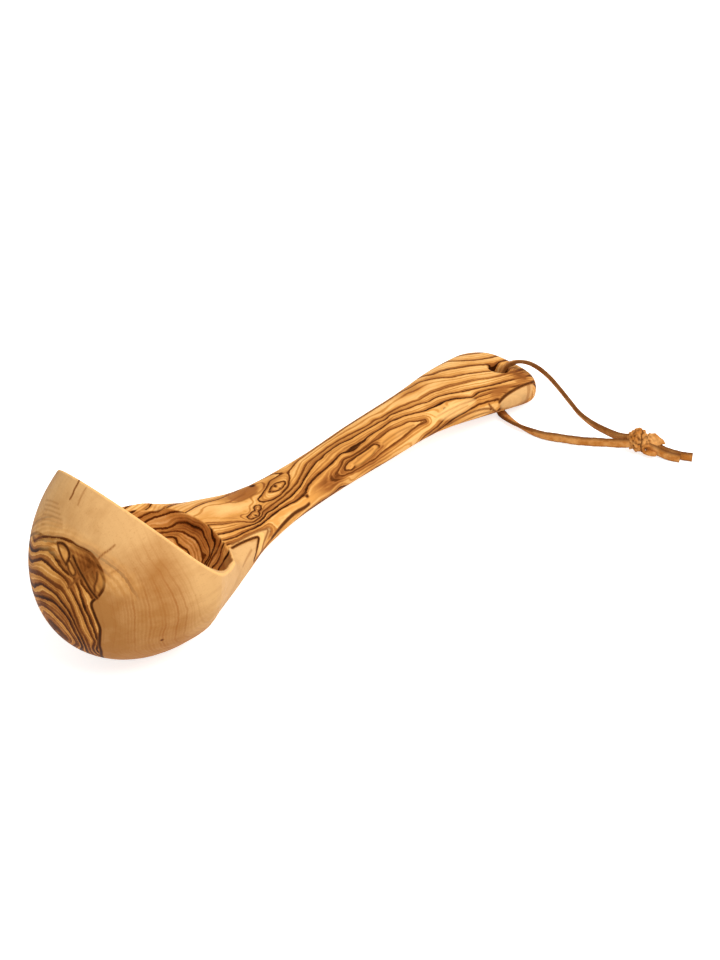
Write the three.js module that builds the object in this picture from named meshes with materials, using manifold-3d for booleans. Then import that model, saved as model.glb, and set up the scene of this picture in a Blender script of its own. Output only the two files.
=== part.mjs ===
// A ladle carved from one block of olive wood, with a flat leather thong through its handle's end.
// Millimetres, +Z up. The ladle lies as it does on a table: bowl tipped back, handle's end down.
// +X runs along the handle and +Y is the ladle's left. The origin lies under the middle of the wood.

import * as THREE from 'three';
import { mergeVertices } from 'three/addons/utils/BufferGeometryUtils.js';
import Module from 'manifold-3d';

// Bowl, measured square to its rim
const RIM_RADIUS = 45;
const BOWL_DEPTH = 55.5;
const BOWL_TILT = 56.5; // degrees that the rim leans back from level
const LIP_WALL = 5.5;
const SIDE_WALL = 4;
const BOTTOM_WALL = 7;
const CAVITY_FORWARD = 3; // the hollow's centre lies this far toward the lip
const HEEL_DROP = 1; // the flat under the bowl reaches this much below its ball

// Handle, with heights above the table and distances from the rim's centre
const HANDLE_REACH = 243;
const HANDLE_THICKNESS = 14.2;
const FLAT_START = -12; // the bowl's ball flattens from here, toward the heel
const HEEL_AT = 9;
const SHOULDER_AT = 24;
const ROOT_AT = 40;
const NECK_AT = 62;
const WAIST_AT = 95;
const SHOULDER_HEIGHT = 39; // the handle's top where it meets the hollow
const ROOT_THICKNESS = 20.3;
const NECK_THICKNESS = 11.8;
const HEEL_HALF_WIDTH = 38.8;
const SHOULDER_HALF_WIDTH = 29.5;
const ROOT_HALF_WIDTH = 22.7;
const NECK_HALF_WIDTH = 16.7;
const WAIST_HALF_WIDTH = 13;
const MIDDLE_HALF_WIDTH = 14.3;
const GRIP_HALF_WIDTH = 15.6;
const FLARE_HALF_WIDTH = 20.3;
const END_HALF_WIDTH = 24.3;
const HEEL_UNDER = 0.65;
const SHOULDER_UNDER = 6.8;
const ROOT_UNDER = 15.1;
const NECK_UNDER = 17.4;
const WAIST_UNDER = 14.9;
const MIDDLE_UNDER = 14.4;
const GRIP_UNDER = 13;
const FLARE_UNDER = 9.2;
const END_UNDER = 2;

// Stations near the handle's end, measured back from it
const MIDDLE_BACK = 108.5;
const GRIP_BACK = 73.5;
const FLARE_BACK = 45.5;
const END_BACK = 10;
const END_ROUND = 22; // length of the round end seen from above
const END_EDGE = 6; // length of its rounding seen from the side
const END_FULLNESS = 2.35; // seen from above

// Hanging hole
const HOLE_RADIUS = 5;
const HOLE_BACK = 14.7; // from the handle's end to the middle of the upper mouth
const HOLE_SIDE = -1.5; // drilled a little to the right of the middle
const HOLE_FLARE = 1.2;

// Leather thong
const THONG_WIDTH = 4.5;
const THONG_THICKNESS = 1.9;
const THONG_GAP = 0.3; // between neighbouring pieces of the thong

// Knot
const KNOT_LENGTH = 11.6; // along the strands
const KNOT_GIRTH = 9.4;
const KNOT_BAND_RADIUS = 5.4; // to the outside of the strip's turns
const KNOT_AIM = 33; // degrees from the ladle's right to where the knot's tails point
const FOLD_TURN = -47; // degrees that the knot's fold is turned about the upright
const FOLD_LEAN = 52;
const BIGHT_TURN = -70;
const BIGHT_LENGTH = 8.4;
const BIGHT_WIDTH = 3.2;
const BIGHT_HEIGHT = 2.6;

// Forms and fineness of the loft
const BOWL_FULLNESS = 2;
const HANDLE_FULLNESS = 2.5;
const TAIL_FULLNESS = 3.2; // cut across near the handle's end
const WIDEST_SHARE = 0.52; // the handle is widest this share of its thickness up from its underside
const BLEND_START = -4;
const BLEND_LENGTH = 45;
const RIM_CLEAR = 9; // the rim's cut is this far above the handle's root
const LEFT_DROP = 3.5; // the left wall beside the shoulder, under the shoulder's height
const LEFT_SWEEP = 5;
const RIGHT_LIFT = 2.5; // the right wall beside the shoulder, over the shoulder's height
const RIGHT_SWEEP = 34; // up the rim
const RIGHT_RUN = 16; // along the shoulder
const SWEEP_CHANGE = 24; // across, to either side of the middle
const SWEEP_STEPS = 12;
const SWEEP_CUTS = 30;
const POCKET_RADIUS = 20.5;
const POCKET_AT = 8;
const POCKET_SIDE = -14;
const POCKET_HEIGHT = 47;
const SHELF_EASE = 1.2; // the rim's cut lifts clear of the handle this far before the shoulder
const RING_POINTS = 48;
const FRONT_RINGS = 24;
const ROOT_RINGS = 18;
const HANDLE_RINGS = 18;
const END_RINGS = 10;

const wasm = await Module();
wasm.setup();

const tilt = THREE.MathUtils.degToRad(BOWL_TILT);
const rimAlong = new THREE.Vector3(Math.cos(tilt), 0, -Math.sin(tilt));
const rimUp = new THREE.Vector3(Math.sin(tilt), 0, Math.cos(tilt));
const rimHeight = Math.hypot(RIM_RADIUS * Math.sin(tilt), BOWL_DEPTH * Math.cos(tilt)) + HEEL_DROP;
const holeAt = HANDLE_REACH - HOLE_BACK;

// The bowl's outside is a ball drawn out along its depth. An upright cut across it is an ellipse.
const cutA = Math.sin(tilt) ** 2 / RIM_RADIUS ** 2 + Math.cos(tilt) ** 2 / BOWL_DEPTH ** 2;
const cutB = Math.cos(tilt) * Math.sin(tilt) * (1 / BOWL_DEPTH ** 2 - 1 / RIM_RADIUS ** 2);
const cutD = Math.cos(tilt) ** 2 / RIM_RADIUS ** 2 + Math.sin(tilt) ** 2 / BOWL_DEPTH ** 2;
const cutC = cutD - cutB ** 2 / cutA;
const bowlReach = 1 / Math.sqrt(cutC);

function bowlCut(x) {
  const share = Math.sqrt(Math.max(0, 1 - cutC * x * x));
  const level = rimHeight - (cutB / cutA) * x;
  const rise = share / Math.sqrt(cutA);
  return { half: RIM_RADIUS * share, level, under: level - rise, top: level + rise };
}

function smoothStep(x, from, to) {
  return THREE.MathUtils.smoothstep(x, from, to);
}

// A smooth line through stations, with the slope given at its start
function lineThrough(stations, startSlope) {
  const slopes = stations.map(([x, value], i) => {
    if (i === 0) {
      return startSlope;
    }
    const [xBefore, before] = stations[i - 1];
    const slopeBefore = (value - before) / (x - xBefore);
    if (i === stations.length - 1) {
      return slopeBefore;
    }
    const [xAfter, after] = stations[i + 1];
    const slopeAfter = (after - value) / (xAfter - x);
    return (slopeBefore * (xAfter - x) + slopeAfter * (x - xBefore)) / (xAfter - xBefore);
  });
  return (x) => {
    let i = 0;
    while (i < stations.length - 2 && x > stations[i + 1][0]) {
      i += 1;
    }
    const [x0, y0] = stations[i];
    const [x1, y1] = stations[i + 1];
    const step = x1 - x0;
    const t = (x - x0) / step;
    const t2 = t * t;
    const t3 = t2 * t;
    const start = (2 * t3 - 3 * t2 + 1) * y0 + (t3 - 2 * t2 + t) * step * slopes[i];
    const end = (3 * t2 - 2 * t3) * y1 + (t3 - t2) * step * slopes[i + 1];
    return start + end;
  };
}

// Handle stations: distance from the rim's centre, half width, underside and thickness
const handleStations = [
  [HEEL_AT, HEEL_HALF_WIDTH, HEEL_UNDER, SHOULDER_HEIGHT - HEEL_UNDER],
  [SHOULDER_AT, SHOULDER_HALF_WIDTH, SHOULDER_UNDER, SHOULDER_HEIGHT - SHOULDER_UNDER],
  [ROOT_AT, ROOT_HALF_WIDTH, ROOT_UNDER, ROOT_THICKNESS],
  [NECK_AT, NECK_HALF_WIDTH, NECK_UNDER, NECK_THICKNESS],
  [WAIST_AT, WAIST_HALF_WIDTH, WAIST_UNDER, HANDLE_THICKNESS],
  [HANDLE_REACH - MIDDLE_BACK, MIDDLE_HALF_WIDTH, MIDDLE_UNDER, HANDLE_THICKNESS],
  [HANDLE_REACH - GRIP_BACK, GRIP_HALF_WIDTH, GRIP_UNDER, HANDLE_THICKNESS],
  [HANDLE_REACH - FLARE_BACK, FLARE_HALF_WIDTH, FLARE_UNDER, HANDLE_THICKNESS],
  [HANDLE_REACH - END_BACK, END_HALF_WIDTH, END_UNDER, HANDLE_THICKNESS],
];
const blendCut = bowlCut(BLEND_START);
const blendNext = bowlCut(BLEND_START + 1);
const halfLine = lineThrough(
  [[BLEND_START, blendCut.half], ...handleStations.map(([x, half]) => [x, half])],
  blendNext.half - blendCut.half,
);
const flatCut = bowlCut(FLAT_START);
const underLine = lineThrough(
  [[FLAT_START, flatCut.under], ...handleStations.map(([x, , under]) => [x, under])],
  bowlCut(FLAT_START + 1).under - flatCut.under,
);
const topLine = lineThrough(
  handleStations.slice(1).map(([x, , under, thickness]) => [x, under + thickness]),
  0,
);

// Underside, widest level, top, half width and fullness of the wood at one distance
function woodCut(x) {
  const ball = bowlCut(Math.min(x, bowlReach));
  const under = x < FLAT_START ? ball.under : underLine(x);
  if (x <= BLEND_START) {
    return { ...ball, under, fullness: BOWL_FULLNESS };
  }
  const blend = smoothStep(x, BLEND_START, BLEND_START + BLEND_LENGTH);
  const fall = smoothStep(x, BLEND_START, SHOULDER_AT);
  const top = x < SHOULDER_AT ? THREE.MathUtils.lerp(ball.top, SHOULDER_HEIGHT, fall) : topLine(x);
  const level = THREE.MathUtils.lerp(ball.level, under + WIDEST_SHARE * (top - under), blend);
  const endShare = THREE.MathUtils.clamp(1 - (HANDLE_REACH - x) / END_ROUND, 0, 1);
  const edgeShare = THREE.MathUtils.clamp(1 - (HANDLE_REACH - x) / END_EDGE, 0, 1);
  const tail = smoothStep(x, HANDLE_REACH - GRIP_BACK, HANDLE_REACH - END_BACK);
  const round = (1 - endShare ** END_FULLNESS) ** (1 / END_FULLNESS);
  const edge = Math.sqrt(1 - edgeShare ** 2);
  const rootFullness = THREE.MathUtils.lerp(BOWL_FULLNESS, HANDLE_FULLNESS, blend);
  return {
    half: halfLine(x) * round,
    level,
    under: level - (level - under) * edge,
    top: level + (top - level) * edge,
    fullness: THREE.MathUtils.lerp(rootFullness, TAIL_FULLNESS, tail),
  };
}

function ringAt(x) {
  const cut = woodCut(x);
  const power = 2 / cut.fullness;
  const ring = [];
  for (let j = 0; j < RING_POINTS; j += 1) {
    const angle = (2 * Math.PI * j) / RING_POINTS;
    const side = Math.sign(Math.cos(angle)) * Math.abs(Math.cos(angle)) ** power;
    const lift = Math.sign(Math.sin(angle)) * Math.abs(Math.sin(angle)) ** power;
    const reach = lift > 0 ? cut.top - cut.level : cut.level - cut.under;
    ring.push(new THREE.Vector3(x, cut.half * side, cut.level + reach * lift));
  }
  return ring;
}

// Closed surface over rings of points that follow each other, ending in a point at each side
function loft(rings, firstTip, lastTip) {
  const points = [firstTip, ...rings.flat(), lastTip];
  const last = points.length - 1;
  const sides = rings[0].length;
  const faces = [];
  for (let j = 0; j < sides; j += 1) {
    const next = (j + 1) % sides;
    faces.push(0, 1 + next, 1 + j);
    for (let i = 0; i < rings.length - 1; i += 1) {
      const near = 1 + i * sides;
      const far = near + sides;
      faces.push(near + j, near + next, far + j);
      faces.push(near + next, far + next, far + j);
    }
    faces.push(last, last - sides + j, last - sides + next);
  }
  const geometry = new THREE.BufferGeometry().setFromPoints(points);
  geometry.setIndex(faces);
  return geometry;
}

function spread(from, to, count) {
  return Array.from({ length: count }, (_, i) => THREE.MathUtils.lerp(from, to, (i + 1) / count));
}

// Solids for joining and cutting

function toSolid(geometry) {
  const bare = geometry.clone();
  bare.deleteAttribute('normal');
  bare.deleteAttribute('uv');
  const merged = mergeVertices(bare, 1e-4);
  const corners = merged.index.array;
  const kept = [];
  for (let i = 0; i < corners.length; i += 3) {
    const [a, b, c] = corners.slice(i, i + 3);
    if (a !== b && b !== c && c !== a) {
      kept.push(a, b, c);
    }
  }
  const mesh = new wasm.Mesh({
    numProp: 3,
    vertProperties: new Float32Array(merged.attributes.position.array),
    triVerts: new Uint32Array(kept),
  });
  return new wasm.Manifold(mesh);
}

function toGeometry(solid) {
  const mesh = solid.getMesh();
  const geometry = new THREE.BufferGeometry();
  geometry.setAttribute('position', new THREE.BufferAttribute(mesh.vertProperties, 3));
  geometry.setIndex(new THREE.BufferAttribute(mesh.triVerts, 1));
  return geometry;
}

// Wood

function woodHull() {
  const frontTurn = Math.acos(-BLEND_START / bowlReach);
  const endStart = HANDLE_REACH - END_ROUND;
  const endTurns = spread(0, Math.PI / 2, END_RINGS + 1).slice(0, -1);
  const places = [
    ...spread(0, frontTurn, FRONT_RINGS).map((turn) => -bowlReach * Math.cos(turn)),
    ...spread(BLEND_START, NECK_AT, ROOT_RINGS),
    ...spread(NECK_AT, endStart, HANDLE_RINGS),
    ...endTurns.map((turn) => endStart + END_ROUND * Math.sin(turn)),
  ];
  const frontTip = new THREE.Vector3(-bowlReach, 0, bowlCut(-bowlReach).level);
  const endTip = new THREE.Vector3(HANDLE_REACH, 0, woodCut(HANDLE_REACH).level);
  return loft(places.map(ringAt), frontTip, endTip);
}

// The sweep from the leaning rim into the shoulder, at one place across. The right wall stays
// high under a long sweep, and the left one is cut lower with a short one.
function rimSweep(y) {
  const right = smoothStep(-y, -SWEEP_CHANGE, SWEEP_CHANGE);
  const height = SHOULDER_HEIGHT + THREE.MathUtils.lerp(-LEFT_DROP, RIGHT_LIFT, right);
  const up = THREE.MathUtils.lerp(LEFT_SWEEP, RIGHT_SWEEP, right);
  const along = THREE.MathUtils.lerp(LEFT_SWEEP, RIGHT_RUN, right);
  const corner = new THREE.Vector2((rimHeight - height) / Math.tan(tilt), height);
  const above = new THREE.Vector2(corner.x - up * rimAlong.x, corner.y - up * rimAlong.z);
  const beside = new THREE.Vector2(corner.x + along, corner.y);
  return new THREE.QuadraticBezierCurve(above, corner, beside).getPoints(SWEEP_STEPS);
}

// What is cut away above the rim: down the leaning rim, round the sweep and along the shoulder
function aboveRim() {
  const beyond = 2 * RIM_RADIUS;
  const outlineAt = (y) => {
    const sweep = rimSweep(y);
    const outline = [
      new THREE.Vector2(-beyond * rimAlong.x, rimHeight - beyond * rimAlong.z),
      ...sweep,
      new THREE.Vector2(SHOULDER_AT - SHELF_EASE, sweep[SWEEP_STEPS].y),
      new THREE.Vector2(ROOT_AT, SHOULDER_HEIGHT + RIM_CLEAR),
      new THREE.Vector2(ROOT_AT, rimHeight + beyond),
    ];
    return outline.reverse().map(({ x, y: z }) => new THREE.Vector3(x, y, z));
  };
  const places = [-beyond, ...spread(-RIM_RADIUS, RIM_RADIUS, SWEEP_CUTS), beyond];
  const middle = (y) => new THREE.Vector3(0, y, rimHeight + RIM_RADIUS);
  return loft(places.map(outlineAt), middle(-beyond), middle(beyond));
}

function bowlHollow() {
  const radius = RIM_RADIUS - LIP_WALL;
  const sink = BOWL_DEPTH - BOTTOM_WALL - radius;
  const centre = new THREE.Vector3(0, 0, rimHeight);
  centre.addScaledVector(rimAlong, -CAVITY_FORWARD);
  centre.addScaledVector(rimUp, -sink);
  const hollow = new THREE.SphereGeometry(1, 52, 34);
  hollow.scale(radius, RIM_RADIUS - SIDE_WALL, radius);
  hollow.translate(centre.x, centre.y, centre.z);
  return hollow;
}

// The gouge went further into the corner beside the right wall
function cornerPocket() {
  const pocket = new THREE.SphereGeometry(POCKET_RADIUS, 40, 26);
  pocket.translate(POCKET_AT, POCKET_SIDE, POCKET_HEIGHT);
  return pocket;
}

function hangingHole() {
  const half = HANDLE_THICKNESS / 2;
  const mouth = HOLE_RADIUS + HOLE_FLARE;
  const side = (sign) => [
    new THREE.Vector2(mouth + HOLE_FLARE, sign * (half + HOLE_FLARE)),
    new THREE.Vector2(mouth, sign * half),
    new THREE.Vector2(HOLE_RADIUS + 0.3 * HOLE_FLARE, sign * (half - 0.7 * HOLE_FLARE)),
    new THREE.Vector2(HOLE_RADIUS, sign * (half - 2 * HOLE_FLARE)),
  ];
  const axisEnd = half + HOLE_FLARE;
  const profile = [
    new THREE.Vector2(0, -axisEnd),
    ...side(-1),
    ...side(1).reverse(),
    new THREE.Vector2(0, axisEnd),
  ];
  const hole = new THREE.LatheGeometry(profile, 28);
  const lean = -Math.atan(topLine(holeAt + 1) - topLine(holeAt));
  hole.translate(0, -half, 0);
  hole.rotateX(Math.PI / 2);
  hole.rotateY(lean);
  hole.translate(holeAt, HOLE_SIDE, topLine(holeAt));
  return hole;
}

function ladleBody() {
  const cut = [aboveRim(), bowlHollow(), cornerPocket(), hangingHole()];
  const solid = cut.reduce((left, tool) => left.subtract(toSolid(tool)), toSolid(woodHull()));
  return toGeometry(solid);
}

// Thong

// Each route point has a place and the direction of the strip's wide side there. Places are
// (along from the hole's upper mouth, to the left of the handle's middle, height above the table).
const loopRoute = [
  [[10.3, -79.2, 7.6], [-0.2, 0.1, 0.97]],
  [[7.6, -76.4, 7.5], [-0.2, 0.1, 0.97]],
  [[5.3, -71.7, 7.5], [-0.25, 0.1, 0.95]],
  [[4, -64.2, 8], [-0.3, 0, 0.95]],
  [[3.7, -57.3, 8.6], [-0.4, 0, 0.9]],
  [[4.4, -49.3, 10], [-0.5, 0, 0.86]],
  [[6.9, -41, 11.9], [-0.52, -0.1, 0.85]],
  [[9, -33, 14.4], [-0.52, -0.1, 0.85]],
  [[10.3, -25.6, 17], [-0.55, -0.12, 0.82]],
  [[10.2, -19, 19.3], [-0.6, -0.15, 0.78]],
  [[8.9, -13, 20.6], [-0.7, -0.25, 0.66]],
  [[6.3, -8.2, 20.4], [-0.76, -0.42, 0.5]],
  [[3.7, -4.9, 18.6], [-0.74, -0.6, 0.3]],
  [[1.5, -2.9, 14.8], [-0.72, -0.69, 0]],
  [[-0.1, -1.9, 10.6], [-0.9, -0.4, 0]],
  [[-1.5, -1.6, 6.6], [-0.98, 0.1, 0]],
  [[-2.6, -2.6, 3.2], [-0.85, 0.5, 0]],
  [[-5.4, -6, 1.5], [-0.76, 0.65, 0]],
  [[-9.4, -10.8, 1.6], [-0.76, 0.65, 0]],
  [[-12.5, -15.2, 2.2], [-0.8, 0.58, 0.1]],
  [[-14.4, -20.4, 2.7], [-0.88, 0.35, 0.3]],
  [[-15.2, -26.4, 2.8], [-0.8, 0.1, 0.6]],
  [[-14.8, -34.3, 2.7], [-0.45, 0, 0.9]],
  [[-13.2, -41.4, 2.7], [-0.2, 0.1, 0.97]],
  [[-9.9, -48.8, 3], [-0.05, 0.1, 1]],
  [[-6.3, -58.1, 4], [0, 0.1, 1]],
  [[-0.6, -68, 5], [0, 0.1, 1]],
  [[4, -76.6, 6.3], [0, 0.1, 1]],
  [[8.5, -81.6, 6.6], [0, 0.1, 1]],
];
const longTailRoute = [
  [[12.9, -83.6, 5.8], [0.05, 0.05, 1]],
  [[14.8, -89.6, 3.9], [0.05, 0.05, 1]],
  [[16.6, -94.4, 2.8], [0, 0, 1]],
  [[19, -99.7, 2.4], [0, 0, 1]],
  [[21.5, -104.1, 2.4], [0, 0, 1]],
];
const shortTailRoute = [
  [[11, -83.8, 5.4], [0.05, 0.05, 1]],
  [[12.8, -90.7, 3.6], [0.05, 0.05, 1]],
  [[14.5, -95.4, 2.6], [0, 0, 1]],
  [[16.7, -100.2, 2.4], [0, 0, 1]],
];
const knotPlace = [9.9, -80.4, 7];
const bightPlace = [9.4, -87.3, 3];

function onTable([along, left, height]) {
  return new THREE.Vector3(holeAt + along, left, height);
}

// A curve that carries a flat strip: its frames turn the strip's wide side as the route says
class StripCurve extends THREE.CatmullRomCurve3 {
  constructor(route) {
    super(route.map(([place]) => onTable(place)), false, 'centripetal');
    this.sides = route.map(([, side]) => new THREE.Vector3(...side));
  }

  wideSide(share) {
    const place = this.getUtoTmapping(share) * (this.sides.length - 1);
    const first = Math.min(Math.floor(place), this.sides.length - 2);
    return this.sides[first].clone().lerp(this.sides[first + 1], place - first);
  }

  computeFrenetFrames(segments) {
    const frames = { tangents: [], normals: [], binormals: [] };
    for (let i = 0; i <= segments; i += 1) {
      const share = i / segments;
      const tangent = this.getTangentAt(share).normalize();
      const side = this.wideSide(share);
      side.addScaledVector(tangent, -side.dot(tangent)).normalize();
      frames.tangents.push(tangent);
      frames.normals.push(side);
      frames.binormals.push(new THREE.Vector3().crossVectors(tangent, side));
    }
    return frames;
  }
}

// Flat section with eight sides: the corners are cut at a third of the thickness
function stripSection() {
  const x = THONG_WIDTH / 2;
  const y = THONG_THICKNESS / 2;
  const cut = THONG_THICKNESS / 3;
  const corners = [
    [x, y - cut],
    [x - cut, y],
    [cut - x, y],
    [-x, y - cut],
    [-x, cut - y],
    [cut - x, -y],
    [x - cut, -y],
    [x, cut - y],
  ];
  return new THREE.Shape(corners.map(([a, b]) => new THREE.Vector2(a, b)));
}

// A length of the strip along a route, ending where the knot begins
function strip(route, steps) {
  const extrudePath = new StripCurve(route);
  const length = new THREE.ExtrudeGeometry(stripSection(), { steps, extrudePath, bevelEnabled: false });
  return toGeometry(toSolid(length).subtract(knotSolid(THONG_GAP)));
}

// One turn of the strip round the knot
function knotBand(grow, [aroundX, aroundY, aroundZ]) {
  const outside = KNOT_BAND_RADIUS + grow;
  const edge = THONG_WIDTH / 2 + grow;
  const cut = THONG_THICKNESS / 3;
  const profile = [
    new THREE.Vector2(0, -edge),
    new THREE.Vector2(outside - cut, -edge),
    new THREE.Vector2(outside, cut - edge),
    new THREE.Vector2(outside, edge - cut),
    new THREE.Vector2(outside - cut, edge),
    new THREE.Vector2(0, edge),
  ];
  const band = new THREE.LatheGeometry(profile, 24);
  band.rotateX(aroundX);
  band.rotateY(aroundY);
  band.rotateZ(aroundZ);
  return band;
}

// The strip folded over flat beside the knot, with slanted corners
function knotFold(grow) {
  const edge = 0.4;
  const shape = new THREE.Shape();
  shape.moveTo(2, -2.4);
  shape.lineTo(6.2, -3.6);
  shape.lineTo(12.2, -1.6);
  shape.lineTo(11.6, -0.4);
  shape.lineTo(7.6, 2.9);
  shape.lineTo(2, 2.2);
  const fold = new THREE.ExtrudeGeometry(shape, {
    depth: THONG_THICKNESS,
    bevelThickness: edge + grow,
    bevelSize: edge + grow,
    bevelSegments: 2,
  });
  fold.rotateX(THREE.MathUtils.degToRad(FOLD_LEAN));
  fold.rotateZ(THREE.MathUtils.degToRad(FOLD_TURN));
  return fold;
}

// The knot: a core with turns of the strip drawn tight round it, a fold and a low bight.
// Grown all round, it is the room that the knot takes from the strips beside it.
function knotSolid(grow) {
  const aim = THREE.MathUtils.degToRad(KNOT_AIM);
  const turns = [
    [0, 0, aim],
    [0.5, 0.3, aim + 0.3],
    [-0.5, 0.2, aim - 0.3],
  ];
  const core = new THREE.SphereGeometry(1, 20, 14);
  core.scale(KNOT_GIRTH / 2 + grow, KNOT_LENGTH / 2 + grow, KNOT_GIRTH / 2 + grow);
  core.rotateZ(aim);
  const bight = new THREE.SphereGeometry(1, 16, 12);
  bight.scale(BIGHT_LENGTH / 2 + grow, BIGHT_WIDTH / 2 + grow, BIGHT_HEIGHT / 2 + grow);
  bight.rotateZ(THREE.MathUtils.degToRad(BIGHT_TURN));
  const middle = onTable(knotPlace);
  const toBight = onTable(bightPlace).sub(middle);
  bight.translate(toBight.x, toBight.y, toBight.z);
  const pieces = [core, bight, knotFold(grow), ...turns.map((turn) => knotBand(grow, turn))];
  const joined = pieces.map(toSolid).reduce((left, right) => left.add(right));
  const geometry = toGeometry(joined);
  geometry.translate(middle.x, middle.y, middle.z);
  return toSolid(geometry);
}

// Scene graph

const oliveWood = new THREE.MeshStandardMaterial({ color: 0xc98f4e, roughness: 0.45, metalness: 0 });
const leather = new THREE.MeshStandardMaterial({ color: 0xb0712f, roughness: 0.85, metalness: 0 });

function named(name, geometry, material) {
  const mesh = new THREE.Mesh(geometry, material);
  mesh.name = name;
  return mesh;
}

const body = named('ladle_body', ladleBody(), oliveWood);
body.geometry.computeBoundingBox();
const box = body.geometry.boundingBox;

const ladle = new THREE.Group();
ladle.add(body);
ladle.add(named('thong_loop', strip(loopRoute, 80), leather));
ladle.add(named('thong_knot', toGeometry(knotSolid(0)), leather));
ladle.add(named('thong_long_tail', strip(longTailRoute, 10), leather));
ladle.add(named('thong_short_tail', strip(shortTailRoute, 8), leather));
ladle.position.set(-(box.min.x + box.max.x) / 2, 0, -box.min.z);

const part = new THREE.Group();
part.add(ladle);

export default part;
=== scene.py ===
"""Carved olive-wood ladle with a leather hanging thong: its looks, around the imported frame."""

import math

import bmesh
import bpy
import numpy as np
from mathutils import Color, Matrix, Vector, noise
from mathutils.bvhtree import BVHTree
from mathutils.kdtree import KDTree


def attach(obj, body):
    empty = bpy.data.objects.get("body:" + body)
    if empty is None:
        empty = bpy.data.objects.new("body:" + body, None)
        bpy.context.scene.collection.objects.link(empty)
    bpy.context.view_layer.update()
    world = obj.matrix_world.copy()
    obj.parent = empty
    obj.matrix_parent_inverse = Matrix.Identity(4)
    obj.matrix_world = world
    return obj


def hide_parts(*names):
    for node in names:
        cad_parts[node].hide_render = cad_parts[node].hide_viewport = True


bl_info = {
    "name": "Olive-wood ladle",
    "version": (1, 0, 0),
    "blender": (4, 5, 0),
    "location": "3D View > Sidebar > Ladle",
    "description": "Dresses the carved ladle and its leather thong and sets a plain studio round them",
    "category": "Object",
}

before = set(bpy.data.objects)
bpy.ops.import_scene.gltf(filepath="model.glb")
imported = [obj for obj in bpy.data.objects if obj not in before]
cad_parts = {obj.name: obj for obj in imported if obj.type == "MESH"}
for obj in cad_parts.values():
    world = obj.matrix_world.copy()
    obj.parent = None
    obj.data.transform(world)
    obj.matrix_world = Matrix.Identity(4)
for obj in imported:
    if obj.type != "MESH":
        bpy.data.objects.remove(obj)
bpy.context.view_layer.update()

MM = 0.001

# Camera, fitted to the photograph: place and lens in millimetres, angles in degrees, picture in pixels
CAMERA_PLACE = (-475.43, -470.39, 546.20)
CAMERA_TURN = 47.28
CAMERA_DIP = 38.09
CAMERA_LENS = 94.05
CAMERA_SENSOR = 36.0
PICTURE_WIDE = 720
PICTURE_HIGH = 960

# Stage, in metres, and the strength of light that the floor adds to what the camera sees
NEAREST_SEEN = 0.01
FLOOR_HALF = 3.0
FLOOR_GLOW = 0.7
KEY_PLACE = (0.05, -0.5, 1.0)
KEY_SIZE = 0.9

# Bowl, in millimetres in the part's frame, and the rim's tilt in degrees
RIM_MIDDLE = (-95.25, 0.0, 49.44)
RIM_TILT = 56.5
RIM_RADIUS = 45.0
BOWL_DEPTH = 55.5
HOLLOW_MIDDLE = (-104.95, 0.0, 46.6)
HOLLOW_RADII = (39.5, 41.0, 39.5)
POCKET_MIDDLE = (-87.25, -14.0, 47.0)
POCKET_RADIUS = 20.5

# Carved surface, lengths in millimetres: facets are smoothed away, but not in a strip along sharp edges
SHARP_ANGLE = math.radians(28)
WELD = 0.01
EDGE_STRIP = 1.2
EDGE_BLEND = 4.0
FACET_ROUNDS = 60
EASING_ROUNDS = 5
PULL_AND_PUSH = (0.5, -0.52)

# Borders between kinds of wood, in millimetres: beyond a cut surface, or ahead of the rim's middle
HOLLOW_SKIN = 0.711
POCKET_SKIN = 0.4
BOWL_SKIN = 1.125
SHELF_START = 7.0
RIGHT_WALL = (-24.0, 27.0)
SAP_REACH = 30.0
SAP_WAVE_HEIGHT = 4.0
SAP_WAVE_PACE = 6.0
CHEVRON_REACH = 70.0
# Start and spread of the painted light that pales the sapwood towards the bowl's upper lip
LIP_START = 26.0
LIP_SPREAD = 12.0
OVERLAP = 3.0
NEAR = 4.0
FAR = 9.0

# Ring numbers at which the handle's sapwood and the bowl's outer sapwood start, and shares of pale sapwood;
# the share at the bowl's upper lip is painted light
CHEVRON_RING = 0.5
OUTER_RING = 12.7
OUTER_SPREAD = 2.0
LIP_LIGHT_SHARE = 0.9
PALE_LEAST = 0.08
PALE_MOST = 0.95

# Traced lines: pixels between two points, rounding of corners, and millimetres of blur beside a mark
TRACE_GAP = 5.0
CORNER_ROUNDS = 2
CORNER_CUT = 0.25
OUTLINE_STEPS = 8
STROKE_EDGE = 0.45
STROKE_BLUR = 0.6

# Field of rings: easing in millimetres, slack, points at a time, and rings per millimetre
FIELD_EASE = 2.0
FIELD_SLACK = 0.06
BATCH = 8192
PLAIN_RATE = 0.2
RATE_LIMITS = (0.06, 0.9)

# Pattern sizes in millimetres along and across the grain; pores and grit are coarser than real, to show
RING_WAVE = (33.0, 11.0)
RING_FADE = (47.143, 15.714)
RING_FUZZ = (3.8, 0.67)
STREAK_SIZE = (45.0, 9.0)
PORE_SIZE = (8.3, 0.7)
MOTTLE_SIZE = (26.0, 18.0)
LEATHER_PATCH = (5.5, 5.5)
LEATHER_GRIT = (1.1, 1.1)
PORE_DEPTH = 0.2
GRIT_DEPTH = 0.3

# Lines of a ring: millimetres by which they wander and wobble, and fine lines from one ring to the next
RING_WANDER = 0.7
RING_WOBBLE = 0.18
HEART_SEASONS = 4.0
SAP_SEASONS = 5.0
SEASON_SHIFT = 0.4
SAP_LINE_WIDTH = 1.0

# Profile of a ring across its line: share of the profile's width, and strength there
DARK_STOPS = ((0.225, 0.0), (0.265, 1.0), (0.395, 1.0), (0.45, 0.4), (0.55, 0.12), (0.7, 0.0))
BROWN_STOPS = ((0.08, 0.0), (0.28, 0.6), (0.42, 1.0), (0.68, 0.5), (1.0, 0.0))

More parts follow.
